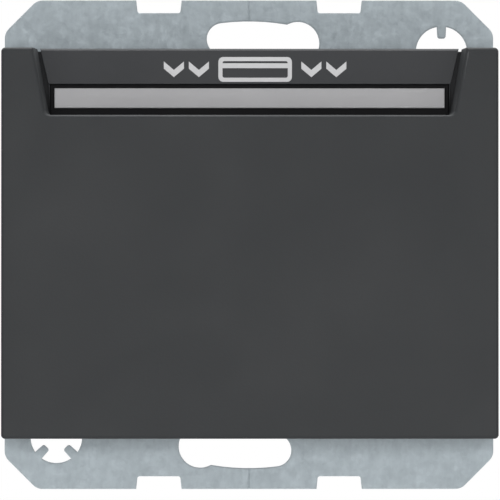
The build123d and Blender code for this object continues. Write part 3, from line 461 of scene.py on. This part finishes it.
def circuit_board():
    material, tree, shader = start_material("circuit_board")
    turned = on_object(tree, "ShaderNodeMapping", Rotation=(math.radians(90), 0, 0)).outputs[0]
    shifts = {"offset": 0.37, "squash": 1.6, "squash_frequency": 3}
    tracks = add(tree, "ShaderNodeTexBrick", shifts, Vector=turned, Scale=260.0,
                 Mortar_Size=0.035, Mortar_Smooth=0.2, Brick_Width=1.9, Row_Height=0.42)
    gap = tracks.outputs["Fac"]
    copper = blend_colours(tree, gap, over_copper, in_gaps)
    cloud = use_group(tree, "moulded_surface", Pits=3600.0)["Cloud"]
    fill_in(tree, shader, Base_Color=blend_colours(tree, cloud, copper, lacquer_cloud),
            Roughness=span(tree, cloud, 0.28, 0.4))
    raise_relief(tree, shader, gap, 0.00003, strength=0.6, settings={"invert": True})
    return material


finishes["circuit_board"] = circuit_board()
print("circuit board:", len(finishes["circuit_board"].node_tree.nodes), "nodes")

# %% [markdown]
# Three small parts carry bands. They could be split into pieces, but a band is only a change
# of finish, so the position along one axis is turned into a mask. The first is the
# capacitor's can. Its dark sleeve is shrunk over the aluminium and leaves the rear end bare.

# %% Sleeve of the can
sleeve_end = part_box("electrolytic_capacitor")[1].y - 0.0005


def place_along(tree, axis):
    return on_object(tree, "ShaderNodeSeparateXYZ").outputs[axis]


def capacitor_sleeve():
    material, tree, shader = start_material("can_sleeve")
    bare = span(tree, place_along(tree, "Y"), 0.0, 1.0, (sleeve_end, sleeve_end + 0.0001))
    line = lines_on(tree, (2200.0, 2200.0, 400.0))
    sleeve = blend_colours(tree, line, (0.018, 0.026, 0.10), (0.024, 0.036, 0.13))
    metal = blend_colours(tree, line, (0.55, 0.55, 0.56), (0.72, 0.72, 0.73))
    fill_in(tree, shader, Base_Color=blend_colours(tree, bare, sleeve, metal), Metallic=bare,
            Roughness=span(tree, line, 0.22, 0.36))
    raise_relief(tree, shader, line, 0.000006)
    return material


finishes["can_sleeve"] = capacitor_sleeve()
print("sleeve ends at y:", round(sleeve_end, 5))

# %% [markdown]
# The resistor's rings tell its value on a real part. Three plain ones are enough here. A
# colour ramp with sharp steps paints them along the length.

# %% Rings of the resistor
resistor_blue = (0.13, 0.28, 0.40, 1)
ring_colours = ((0.40, 0.09, 0.02, 1), (0.02, 0.02, 0.02, 1), (0.55, 0.40, 0.05, 1))
first_ring, ring_step, ring_width = 0.22, 0.2, 0.09


def resistor_bands():
    material, tree, shader = start_material("resistor_body")
    low, high = (corner.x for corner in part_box("series_resistor"))
    ramp = add(tree, "ShaderNodeValToRGB")
    ramp.color_ramp.interpolation = "CONSTANT"
    ramp.color_ramp.elements[0].color = resistor_blue
    ramp.color_ramp.elements.remove(ramp.color_ramp.elements[1])
    for i, ring in enumerate(ring_colours):
        start = first_ring + ring_step * i
        ramp.color_ramp.elements.new(start).color = ring
        ramp.color_ramp.elements.new(start + ring_width).color = resistor_blue
    fill_in(tree, ramp, Fac=span(tree, place_along(tree, "X"), 0.0, 1.0, (low, high)))
    surface = use_group(tree, "moulded_surface", Pits=1400.0)
    cloud = surface["Cloud"]
    tint = blend_colours(tree, span(tree, cloud, 0.0, 0.18), ramp.outputs[0], (0.05, 0.12, 0.2))
    fill_in(tree, shader, Base_Color=tint, Roughness=span(tree, cloud, 0.28, 0.42))
    raise_relief(tree, shader, surface["Height"], 0.00002)
    return material


finishes["resistor_body"] = resistor_bands()
print("rings:", len(ring_colours))

# %% [markdown]
# The fuse is glass between two metal caps. The distance from its middle tells cap from
# glass, so one mask serves both ends.

# %% Tube of the fuse
cap_start = 0.56


def fuse_tube():
    material, tree, shader = start_material("fuse_glass")
    low, high = (corner.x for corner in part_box("fuse"))
    away = reckon(tree, "ABSOLUTE", span(tree, place_along(tree, "X"), -1.0, 1.0, (low, high)))
    cap = span(tree, away, 0.0, 1.0, (cap_start, cap_start + 0.01))
    line = lines_on(tree, (2600.0, 300.0, 300.0))
    metal = blend_colours(tree, line, (0.55, 0.55, 0.54), (0.74, 0.74, 0.72))
    fill_in(tree, shader, Base_Color=blend_colours(tree, cap, (0.62, 0.68, 0.66), metal),
            Metallic=cap, Roughness=span(tree, line, 0.1, 0.2))
    return material


finishes["fuse_glass"] = fuse_tube()
print("finishes:", len(finishes))

# %% [markdown]
# Every solid now takes the finish that its part names. Its material slots are refilled and
# its mesh is left alone.

# %% Finishes onto the solids
for name, solid in nodes.items():
    solid.data.materials.clear()
    solid.data.materials.append(finishes[slot_of[name]])
print("finished:", len(nodes))

# %% [markdown]
# What repeats is made by Geometry Nodes. Such a tree starts with named inputs for its sizes.
# It ends in Realize Instances and Set Material, so that what it makes is real geometry with
# its finish. The mesh is then taken out of it, and no modifier stays on the piece.

# %% Helpers for growing trees
def start_tree(name, sockets):
    """A Geometry Nodes tree with inputs of (name, kind, value), and the node that gives them."""
    tree = bpy.data.node_groups.new(name, "GeometryNodeTree")
    for title, kind, value in (*sockets, ("Material", "Material", None)):
        socket = tree.interface.new_socket(title, in_out="INPUT", socket_type="NodeSocket" + kind)
        if value is not None:
            socket.default_value = value
    tree.interface.new_socket("Geometry", in_out="OUTPUT", socket_type="NodeSocketGeometry")
    return tree, tree.nodes.new("NodeGroupInput")


def end_tree(tree, given, source):
    """Makes every copy real, gives it the material and ends the tree."""
    real = add(tree, "GeometryNodeRealizeInstances", Geometry=source).outputs[0]
    paint = add(tree, "GeometryNodeSetMaterial", Geometry=real, Material=given.outputs["Material"])
    add(tree, "NodeGroupOutput", Geometry=paint.outputs[0])


def grown_mesh(tree, name, **values):
    """The plain mesh that a tree makes from the given input values."""
    carrier = bpy.data.objects.new(name, bpy.data.meshes.new(name))
    bpy.context.scene.collection.objects.link(carrier)
    modifier = carrier.modifiers.new(name, "NODES")
    modifier.node_group = tree
    sockets = {item.name: item.identifier for item in tree.interface.items_tree
               if item.in_out == "INPUT"}
    for socket, value in values.items():
        modifier[sockets[socket.replace("_", " ")]] = value
    evaluated = carrier.evaluated_get(bpy.context.evaluated_depsgraph_get())
    mesh = bpy.data.meshes.new_from_object(evaluated)
    bpy.data.objects.remove(carrier)
    mesh.name = name
    return mesh


print("tree helpers:", ", ".join(helper.__name__ for helper in (start_tree, end_tree, grown_mesh)))

# %% [markdown]
# Screws and springs repeat one turn many times. A Screw modifier could wind them too, but
# it counts turns, and here the length is what is known. The tree below sweeps a small
# triangle along a spiral and sets it on a plain core. It has the radius, the pitch, the
# length and the ridge as inputs, so a screw thread and a spring are the same tree with other
# numbers.

# %% Spiral tree
def spiral_tree():
    tree, given = start_tree("spiral_turns", (
        ("Core Radius", "Float", 0.00125), ("Pitch", "Float", 0.0005), ("Length", "Float", 0.01),
        ("Ridge", "Float", 0.0002), ("Points", "Int", 24), ("Profile Sides", "Int", 3),
        ("Core", "Bool", True)))
    size = given.outputs
    spiral = add(tree, "GeometryNodeCurveSpiral", Resolution=size["Points"],
                 Rotations=reckon(tree, "DIVIDE", size["Length"], size["Pitch"]),
                 Height=size["Length"], Start_Radius=size["Core Radius"],
                 End_Radius=size["Core Radius"])
    profile = add(tree, "GeometryNodeCurvePrimitiveCircle", Resolution=size["Profile Sides"],
                  Radius=size["Ridge"])
    sweep = add(tree, "GeometryNodeCurveToMesh", Curve=spiral.outputs[0],
                Profile_Curve=profile.outputs[0], Fill_Caps=True)
    core = add(tree, "GeometryNodeMeshCylinder", Vertices=32, Radius=size["Core Radius"],
               Depth=size["Length"])
    up = add(tree, "ShaderNodeCombineXYZ", Z=reckon(tree, "MULTIPLY", size["Length"], 0.5))
    lift = add(tree, "GeometryNodeTransform", Geometry=core.outputs["Mesh"],
               Translation=up.outputs[0])
    switch = add(tree, "GeometryNodeSwitch", {"input_type": "GEOMETRY"}, Switch=size["Core"],
                 **{"True": lift.outputs[0]})
    both = add(tree, "GeometryNodeJoinGeometry")
    for part in (sweep, switch):
        feed(tree, part.outputs[0], both.inputs[0])
    end_tree(tree, given, both.outputs[0])
    return tree


turns = spiral_tree()
print("spiral tree:", len(turns.nodes), "nodes")

# %% [markdown]
# A screw's head is turned on a lathe: a profile of radius and height goes round the axis.
# Blender's Spin would do the same, but then the doubles have to be merged and the poles
# closed. Here each end of the profile is a single point, so the head is closed at once.

# %% Turned heads
lathe_segments = 48


def mesh_from(shape, name):
    """The finished mesh of a bmesh, which is freed."""
    made = bpy.data.meshes.new(name)
    shape.to_mesh(made)
    shape.free()
    return made


def lathe(name, profile, segments=lathe_segments):
    """A closed mesh from (radius, height) pairs; the first and last lie on the axis."""
    mesh = bmesh.new()
    rings = []
    for radius, height in profile:
        if radius == 0:
            rings.append([mesh.verts.new((0, 0, height))])
        else:
            rings.append([mesh.verts.new((radius * math.cos(a), radius * math.sin(a), height))
                          for a in (2 * math.pi * i / segments for i in range(segments))])
    for lower, upper in zip(rings, rings[1:]):
        for i in range(segments):
            j = (i + 1) % segments
            corners = [lower[i % len(lower)], lower[j % len(lower)],
                       upper[j % len(upper)], upper[i % len(upper)]]
            mesh.faces.new([c for k, c in enumerate(corners) if c not in corners[:k]])
    bmesh.ops.recalc_face_normals(mesh, faces=mesh.faces)
    return mesh_from(mesh, name)


print("lathe:", lathe_segments, "segments a turn")

# %% [markdown]
# The recess in the head takes the screwdriver. It is cut with a Boolean modifier, because a
# cross or a slot with crisp walls is hard to get from the lathe.

# %% Recess
def cut_recess(mesh, arms, top):
    """Cuts bars of (length, width, depth) into the top of a head."""
    blank = bpy.data.objects.new("blank", mesh)
    bpy.context.scene.collection.objects.link(blank)
    cutters = []
    for length, width, depth in arms:
        cutter = bmesh.new()
        bmesh.ops.create_cube(cutter, size=1.0)
        bmesh.ops.scale(cutter, vec=(length, width, 2 * depth), verts=cutter.verts)
        bmesh.ops.translate(cutter, vec=(0, 0, top), verts=cutter.verts)
        bar = bpy.data.objects.new("cutter", mesh_from(cutter, "cutter"))
        bpy.context.scene.collection.objects.link(bar)
        cutters.append(bar)
        cut = blank.modifiers.new("recess", "BOOLEAN")
        cut.operation, cut.solver, cut.object = "DIFFERENCE", "EXACT", bar
    bpy.context.view_layer.update()
    evaluated = blank.evaluated_get(bpy.context.evaluated_depsgraph_get())
    result = bpy.data.meshes.new_from_object(evaluated)
    for thing in [blank, *cutters]:
        bpy.data.objects.remove(thing)
    return result


recess_width = recess_depth = 0.0008
print("recess:", recess_width, "wide,", recess_depth, "deep")

# %% [markdown]
# Head and thread become one mesh, because they are one piece of steel. The mesh itself is
# turned into its place at the end, so the object stays at the origin and its pattern
# doesn't slide. Then the piece rides on its body and stands for its solid.

# %% Joining and placing
def join_meshes(name, meshes, finish, shade_angle=35):
    """One mesh from several, with one finish and smooth shading below the given angle."""
    whole = bmesh.new()
    for mesh in meshes:
        whole.from_mesh(mesh)
    result = mesh_from(whole, name)
    result.materials.clear()
    result.materials.append(finish)
    for face in result.polygons:
        face.material_index = 0
    result.shade_smooth()
    result.set_sharp_from_angle(angle=math.radians(shade_angle))
    return result


def stand_in_place(name, mesh, matrix, body, replaced):
    """Moves the mesh itself, then lets the piece ride and stand for its solid."""
    mesh.transform(matrix)
    piece = bpy.data.objects.new(name, mesh)
    bpy.context.scene.collection.objects.link(piece)
    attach(piece, body)
    if replaced:
        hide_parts(*replaced)
    return piece


thread_pitch = 0.0005
softened_share, ridge_share = 0.28, 0.42


def screw_mesh(name, head_radius, head_height, radius, length, arms):
    """Head from 0 down to -head_height along Z, thread below it, axis on Z."""
    soft = head_height * softened_share
    head = lathe("head", [(0, 0), (head_radius - soft, 0), (head_radius - 0.3 * soft, -0.3 * soft),
                          (head_radius, -soft), (head_radius, -head_height), (0, -head_height)])
    head = cut_recess(head, arms, 0.0)
    ridge = thread_pitch * ridge_share
    thread = grown_mesh(turns, "thread", Core_Radius=radius - ridge, Pitch=thread_pitch,
                        Length=length, Ridge=ridge, Points=22, Profile_Sides=3, Core=True,
                        Material=finishes["zinc_screw"])
    thread.transform(Matrix.Translation((0, 0, -head_height - length)))
    return join_meshes(name, [head, thread], finishes["zinc_screw"])


print("thread pitch:", thread_pitch)

# %% [markdown]
# The claw screws pull the nuts along and spread the claws. They are driven from the front
# and lie along Y. The terminal screws are driven from below and lie along Z, head down, with
# a slot that lets a small screwdriver in. All six are M3, and each takes its head's radius,
# its length and its place from the box of its solid.

# %% Claw screws and terminal screws
m3_radius, m3_head_height = 0.0015, 0.0018
into_wall = Matrix.Rotation(math.radians(90), 4, "X")
upside_down = Matrix.Rotation(math.radians(180), 4, "X")


def cross(length):
    return [(length, recess_width, recess_depth), (recess_width, length, recess_depth)]


def screw_for(node, axis, turn, arms):
    """A screw in place of a node, with its head at the low end of an axis, 1 for Y, 2 for Z."""
    low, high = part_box(node)
    start = (low + high) / 2
    start[axis] = low[axis]
    mesh = screw_mesh(node + "_piece", (high.x - low.x) / 2, m3_head_height, m3_radius,
                      high[axis] - low[axis] - m3_head_height, arms)
    stand_in_place(node + "_piece", mesh, Matrix.Translation(start) @ turn, node, [node])


claw_screws = ["claw_screw_left", "claw_screw_right"]
terminal_screws = [f"terminal_screw_{number}" for number in range(1, 5)]
for node in claw_screws:
    screw_for(node, 1, into_wall, cross(0.003))
for node in terminal_screws:
    screw_for(node, 2, upside_down, [(0.006, recess_width, recess_depth)])
print("screws with threads:", len(claw_screws) + len(terminal_screws))

# %% [markdown]
# The two screws of the carrier and the four of the housing are groups in the frame. The
# export would drop instances, so each group is one piece made of real copies of a screw.
# These are M2.5.

# %% Screw groups on the plate and lid
m25_radius = 0.00125


def screw_group(node, places, head_radius, head_height):
    low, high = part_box(node)
    meshes = []
    for x, z in places:
        mesh = screw_mesh("one", head_radius, head_height, m25_radius,
                          high.y - low.y - head_height, cross(0.0025))
        mesh.transform(Matrix.Translation((x, low.y, z)) @ into_wall)
        meshes.append(mesh)
    whole = join_meshes(node + "_piece", meshes, finishes["zinc_screw"])
    stand_in_place(node + "_piece", whole, Matrix.Identity(4), "base", [node])


low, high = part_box("carrier_screws")
head_radius = 0.0026
sides = (head_radius - high.x, high.x - head_radius)
screw_group("carrier_screws", [(x, (low.z + high.z) / 2) for x in sides], head_radius, 0.0018)
low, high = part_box("housing_screws")
head_radius = 0.0023
sides = (head_radius - high.x, high.x - head_radius)
screw_group("housing_screws", [(x, z) for x in sides for z in sides], head_radius, 0.0012)
print("screws in groups: 2 and 4")

# %% [markdown]
# The lever's spring is wound from half a millimetre of wire. It is the spiral tree again,
# with a round profile and no core. It has to shorten when the lever comes down, which no
# stiff piece can; here it stands on its foot and gets a mesh of its own.

# %% Lever spring
low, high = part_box("lever_spring")
foot = Vector(((low.x + high.x) / 2, (low.y + high.y) / 2, low.z))
wire_radius = 0.00025
coil_turns = 5
tall = high.z - low.z - 2 * wire_radius
coil = grown_mesh(turns, "lever_spring_piece", Core_Radius=(high.x - low.x) / 2 - wire_radius,
                  Pitch=tall / coil_turns, Length=tall, Ridge=wire_radius, Points=32,
                  Profile_Sides=12, Core=False, Material=finishes["spring_steel"])
coil = join_meshes("lever_spring_piece", [coil], finishes["spring_steel"], 60)
coil_start = foot + Vector((0, 0, wire_radius))
spring = stand_in_place("lever_spring_piece", coil, Matrix.Translation(coil_start), "base",
                        ["lever_spring"])
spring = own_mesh(spring)
print("spring:", coil_turns, "turns,", round(tall, 5), "tall")

# %% [markdown]
# Above the strip the real sloped face carries a printed mark. Here it is a plain pictogram:
# a card between chevrons that point down into the slot. The ink is a film three hundredths
# of a millimetre thick, and it lies on the slope, whose foot and head are known from the
# strip below it and the top of the carrier.

# %% Ink and slope
ink = moulded_plastic("printed_ink", (0.62, 0.62, 0.63), rough=0.55, pits=4200.0, depth=0.000004,
                      clouds=0.03, edge_wear_and_highlight=1.0, edge_radius=0.00005)
ink_thickness, ink_sink = 0.00003, 0.000005
strip_low, strip_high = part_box("light_strip")
pad_face = strip_low.y + 0.0002
slope_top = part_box("card_carrier")[1].z
slope_foot = Vector((0, pad_face - 0.0006, slope_top - 0.0051))
slope_head = Vector((0, pad_face - 0.0003, slope_top - 0.00028))
print("slope from", [round(c, 5) for c in slope_foot], "to", [round(c, 5) for c in slope_head])

# %% [markdown]
# A chevron is a bar of two halves whose outer ends are raised. The tree bends a grid of two
# cells that way, by each point's distance from the middle, and repeats it along a line.

# %% Chevrons
def chevron_tree():
    tree, given = start_tree("chevron_row", (
        ("Width", "Float", 0.0028), ("Stroke", "Float", 0.0008), ("Drop", "Float", 1.0),
        ("Pitch", "Float", 0.0034), ("Count", "Int", 3)))
    size = given.outputs
    sheet = add(tree, "GeometryNodeMeshGrid", Size_X=size["Width"], Size_Y=size["Stroke"],
                Vertices_X=3, Vertices_Y=2)
    place = add(tree, "GeometryNodeInputPosition").outputs[0]
    parts = add(tree, "ShaderNodeSeparateXYZ", Vector=place)
    rise = reckon(tree, "MULTIPLY", reckon(tree, "ABSOLUTE", parts.outputs["X"]), size["Drop"])
    up = add(tree, "ShaderNodeCombineXYZ", Y=rise).outputs[0]
    bend = add(tree, "GeometryNodeSetPosition", Geometry=sheet.outputs["Mesh"], Offset=up)
    step = add(tree, "ShaderNodeCombineXYZ", X=size["Pitch"]).outputs[0]
    line = add(tree, "GeometryNodeMeshLine", Count=size["Count"], Offset=step)
    row = add(tree, "GeometryNodeInstanceOnPoints", Points=line.outputs["Mesh"],
              Instance=bend.outputs[0])
    end_tree(tree, given, row.outputs[0])
    return tree


chevrons = chevron_tree()
chevron_look = dict(Width=0.0029, Stroke=0.00105, Drop=0.85, Pitch=0.0036, Count=2, Material=ink)
print("chevron tree:", len(chevrons.nodes), "nodes")

# %% [markdown]
# The card is a ring with round corners and a bar across it, like the stripe on a real card.
# Both outlines have the same number of points, so the ring is a row of four-sided faces.

# %% Card
def rounded_outline(half_x, half_y, radius, corner_points=6):
    """Points round a rectangle with round corners."""
    points = []
    for quarter, (side_x, side_y) in enumerate(((1, 1), (-1, 1), (-1, -1), (1, -1))):
        for k in range(corner_points + 1):
            angle = math.pi / 2 * (quarter + k / corner_points)
            points.append((side_x * (half_x - radius) + radius * math.cos(angle),
                           side_y * (half_y - radius) + radius * math.sin(angle)))
    return points


def card_outline(width, height, stroke, radius):
    """A flat ring in the shape of a card, with a bar across it."""
    mesh = bmesh.new()
    outer = [mesh.verts.new((x, y, 0)) for x, y in rounded_outline(width / 2, height / 2, radius)]
    inner = [mesh.verts.new((x, y, 0)) for x, y in
             rounded_outline(width / 2 - stroke, height / 2 - stroke, radius * 0.4)]
    for i in range(len(outer)):
        j = (i + 1) % len(outer)
        mesh.faces.new((outer[i], outer[j], inner[j], inner[i]))
    bar = [mesh.verts.new((x * (width / 2 - stroke), y * height, 0)) for x, y in
           ((-1, 0.05), (1, 0.05), (1, 0.25), (-1, 0.25))]
    mesh.faces.new(bar)
    return mesh_from(mesh, "card")


card_look = dict(width=0.0106, height=0.0036, stroke=0.0006, radius=0.0007)
print("card:", card_look)

# %% [markdown]
# The flat shapes get their thickness and are laid on the slope. Its own axes make the
# matrix: across it, up along it, and out of it. Every face is shaded flat, because rounded
# shading on so thin a film would make the print look embossed.

# %% Printed band
band_x, band_z = 0.0008, 0.0251
row_starts, row_low = (-0.0117, 0.0081), -0.0006


def thicken(flat, thickness):
    """Turns a flat mesh into a closed film, with a wall along each open edge."""
    film = bmesh.new()
    film.from_mesh(flat)
    sheet, rim = film.faces[:], [edge.verts[:] for edge in film.edges if edge.is_boundary]
    lift = Vector((0, 0, thickness))
    raised = {point: film.verts.new(point.co + lift) for point in film.verts[:]}
    for face in sheet:
        film.faces.new([raised[point] for point in face.verts])
    for start, end in rim:
        film.faces.new((start, end, raised[end], raised[start]))
    bmesh.ops.recalc_face_normals(film, faces=film.faces)
    for face in film.faces:
        face.smooth = False
    film.to_mesh(flat)
    film.free()


def printed_band():
    meshes = []
    for start in row_starts:
        row = grown_mesh(chevrons, "row", **chevron_look)
        row.transform(Matrix.Translation((start, row_low, 0)))
        meshes.append(row)
    meshes.append(card_outline(**card_look))
    flat = join_meshes("printed_band", meshes, ink)
    thicken(flat, ink_thickness)
    along = (slope_head - slope_foot).normalized()
    across = Vector((1, 0, 0))
    out = across.cross(along)
    base = slope_foot + along * ((band_z - slope_foot.z) / along.z)
    turn = Matrix((across, along, out)).transposed().to_4x4()
    place = Matrix.Translation(base + Vector((band_x, 0, 0)) - out * ink_sink)
    stand_in_place("printed_band", flat, place @ turn, "base", [])
    return flat


print("printed band:", len(printed_band().polygons), "faces")

# %% [markdown]
# Round the strip the switch looks black. A thin black frame lies in the recess of the
# sloped part, and its black is painted shade: it stands for the shade deep round the strip.
# A black band in the carrier's finish would have no step, so it is a piece of its own: a
# flat ring with softened edges and a strip-shaped window.

# %% Black frame round the strip, painted shade
# The frame's near-black colour is painted shade round the strip.
painted_shade_frame = moulded_plastic("painted_shade_frame", (0.0095, 0.0095, 0.0105), rough=0.7, level=0.1,
                              edge_wear_and_highlight=1.6, edge_radius=0.0001)


def flat_ring(outer, window, back, front, soft):
    """A ring in the plane of the wall between two places on Y, as (x0, z0, x1, z1) rectangles."""
    mesh = bmesh.new()

    def loop(box, y, inset):
        x0, z0, x1, z1 = box[0] + inset, box[1] + inset, box[2] - inset, box[3] - inset
        return [mesh.verts.new((x, y, z)) for x, z in ((x0, z0), (x1, z0), (x1, z1), (x0, z1))]

    loops = [loop(outer, back, 0), loop(outer, front + soft, 0), loop(outer, front, soft),
             loop(window, front, -soft), loop(window, front + soft, 0), loop(window, back, 0)]
    for first, second in zip(loops, loops[1:] + loops[:1]):
        for i in range(4):
            j = (i + 1) % 4
            mesh.faces.new((first[i], first[j], second[j], second[i]))
    bmesh.ops.recalc_face_normals(mesh, faces=mesh.faces)
    return mesh_from(mesh, "flat_ring")


strip_play, strip_lip = 0.00003, 0.00045
window = (strip_low.x - strip_play, strip_low.z + strip_lip - strip_play,
          strip_high.x + strip_play, strip_high.z - strip_lip + strip_play)
side_rim, foot_rim, head_rim = 0.00062, 0.00214, 0.00053
outer = (window[0] - side_rim, window[1] - foot_rim, window[2] + side_rim, window[3] + head_rim)
ring = flat_ring(outer, window, back=pad_face + 0.0010, front=pad_face + 0.0003, soft=0.00012)
stand_in_place("strip_frame_piece", join_meshes("strip_frame_piece", [ring], painted_shade_frame),
               Matrix.Identity(4), "base", [])
print("black frame:", [round(c, 5) for c in outer])

# %% [markdown]
# The picture was taken square from the front, from about a metre away: the plate is a little
# smaller in it than the cover in front of it, and it is shifted by a hair, so the camera
# stands slightly left of and below the middle. A long lens gives the same small change of
# size.

# %% Camera
def aim(thing, at):
    thing.rotation_euler = (Vector(at) - thing.location).to_track_quat("-Z", "Y").to_euler()


camera_place, camera_target = (-0.00794, -0.935, -0.01379), (0.000146, 0, -0.000771)
camera = bpy.data.objects.new("camera", bpy.data.cameras.new("camera"))
bpy.context.scene.collection.objects.link(camera)
camera.location = camera_place
aim(camera, camera_target)
camera.data.sensor_width = 36
camera.data.lens = 462.7
camera.data.clip_start, camera.data.clip_end = 0.01, 20
bpy.context.scene.camera = camera
bpy.context.scene.view_settings.view_transform = "Standard"
print("camera:", camera_place, "lens:", round(camera.data.lens, 1))

# %% [markdown]
# One large soft lamp stands behind the camera and about level with it, so the cover throws
# hardly any shadow on the plate. A sun lamp would be simpler, but at its usual small angle
# its shadows have hard edges. A lamp straight above, just behind the plane of the plate, only
# meets faces that look upwards, and gives the top edges their light line, which the painted
# highlight in the edge colour makes stronger. A weak one stands below, and two behind light
# the rear.

# %% Lamps
def soft_lamp(name, place, size, power):
    """A rectangular lamp that looks at the middle of the plate."""
    lamp = bpy.data.objects.new(name, bpy.data.lights.new(name, "AREA"))
    lamp.data.shape, lamp.data.size, lamp.data.size_y = "RECTANGLE", size[0], size[1]
    lamp.data.energy = power
    lamp.location = place
    aim(lamp, (0, 0, 0))
    bpy.context.scene.collection.objects.link(lamp)


lamps = {
    "front": dict(place=(0, -1.2, 0.06), size=(0.6, 0.28), power=5.8),
    "above": dict(place=(0, 0.05, 0.60), size=(0.6, 0.3), power=6.0),
    "below": dict(place=(0, -0.55, -0.60), size=(0.9, 0.3), power=1.3),
    "behind right": dict(place=(0.7, 0.9, 0.6), size=(0.6, 0.6), power=5.5),
    "behind left": dict(place=(-0.8, 0.8, 0.1), size=(0.6, 0.6), power=3.5),
}
for name, lamp in lamps.items():
    soft_lamp(name, **lamp)
print("lamps:", len(lamps))

# %% [markdown]
# The room, a plain white world, fills the rest. It lights the object only weakly, but the
# camera and mirror-like surfaces see it as pure white, which gives the white background.

# %% Room
room_fill, room_seen = 0.18, 1.0
world = bpy.data.worlds.new("room")
bpy.context.scene.world = world
world.use_nodes = True
room = world.node_tree
room.nodes.clear()
fill = add(room, "ShaderNodeBackground", Color=(1, 1, 1, 1), Strength=room_fill)
seen = add(room, "ShaderNodeBackground", Color=(1, 1, 1, 1), Strength=room_seen)
ray = add(room, "ShaderNodeLightPath").outputs
shiny = reckon(room, "MAXIMUM", ray["Is Camera Ray"], ray["Is Glossy Ray"])
clear = reckon(room, "MAXIMUM", shiny, ray["Is Transmission Ray"])
choose = add(room, "ShaderNodeMixShader")
for source, target in ((clear, 0), (fill.outputs[0], 1), (seen.outputs[0], 2)):
    feed(room, source, choose.inputs[target])
add(room, "ShaderNodeOutputWorld", Surface=choose.outputs[0])
print("room:", room_fill, "as light,", room_seen, "as background")

# %% [markdown]
# A sheet of pale paper lies a little below the switch. It catches the soft shadow and gives
# the lower faces some light back. It isn't part of the object.

# %% Floor
floor_level, floor_half = -0.09, 1.2
sheet = bmesh.new()
bmesh.ops.create_grid(sheet, x_segments=8, y_segments=8, size=floor_half)
bmesh.ops.translate(sheet, vec=(0, 0, floor_level), verts=sheet.verts)
floor = bpy.data.objects.new("floor", mesh_from(sheet, "floor"))
floor.data.materials.append(moulded_plastic("floor_paper", (0.80, 0.80, 0.80), rough=0.8,
                                            clouds=0.01, edge_wear_and_highlight=1.0, depth=0.00001))
bpy.context.scene.collection.objects.link(floor)
print("floor at z:", floor_level)
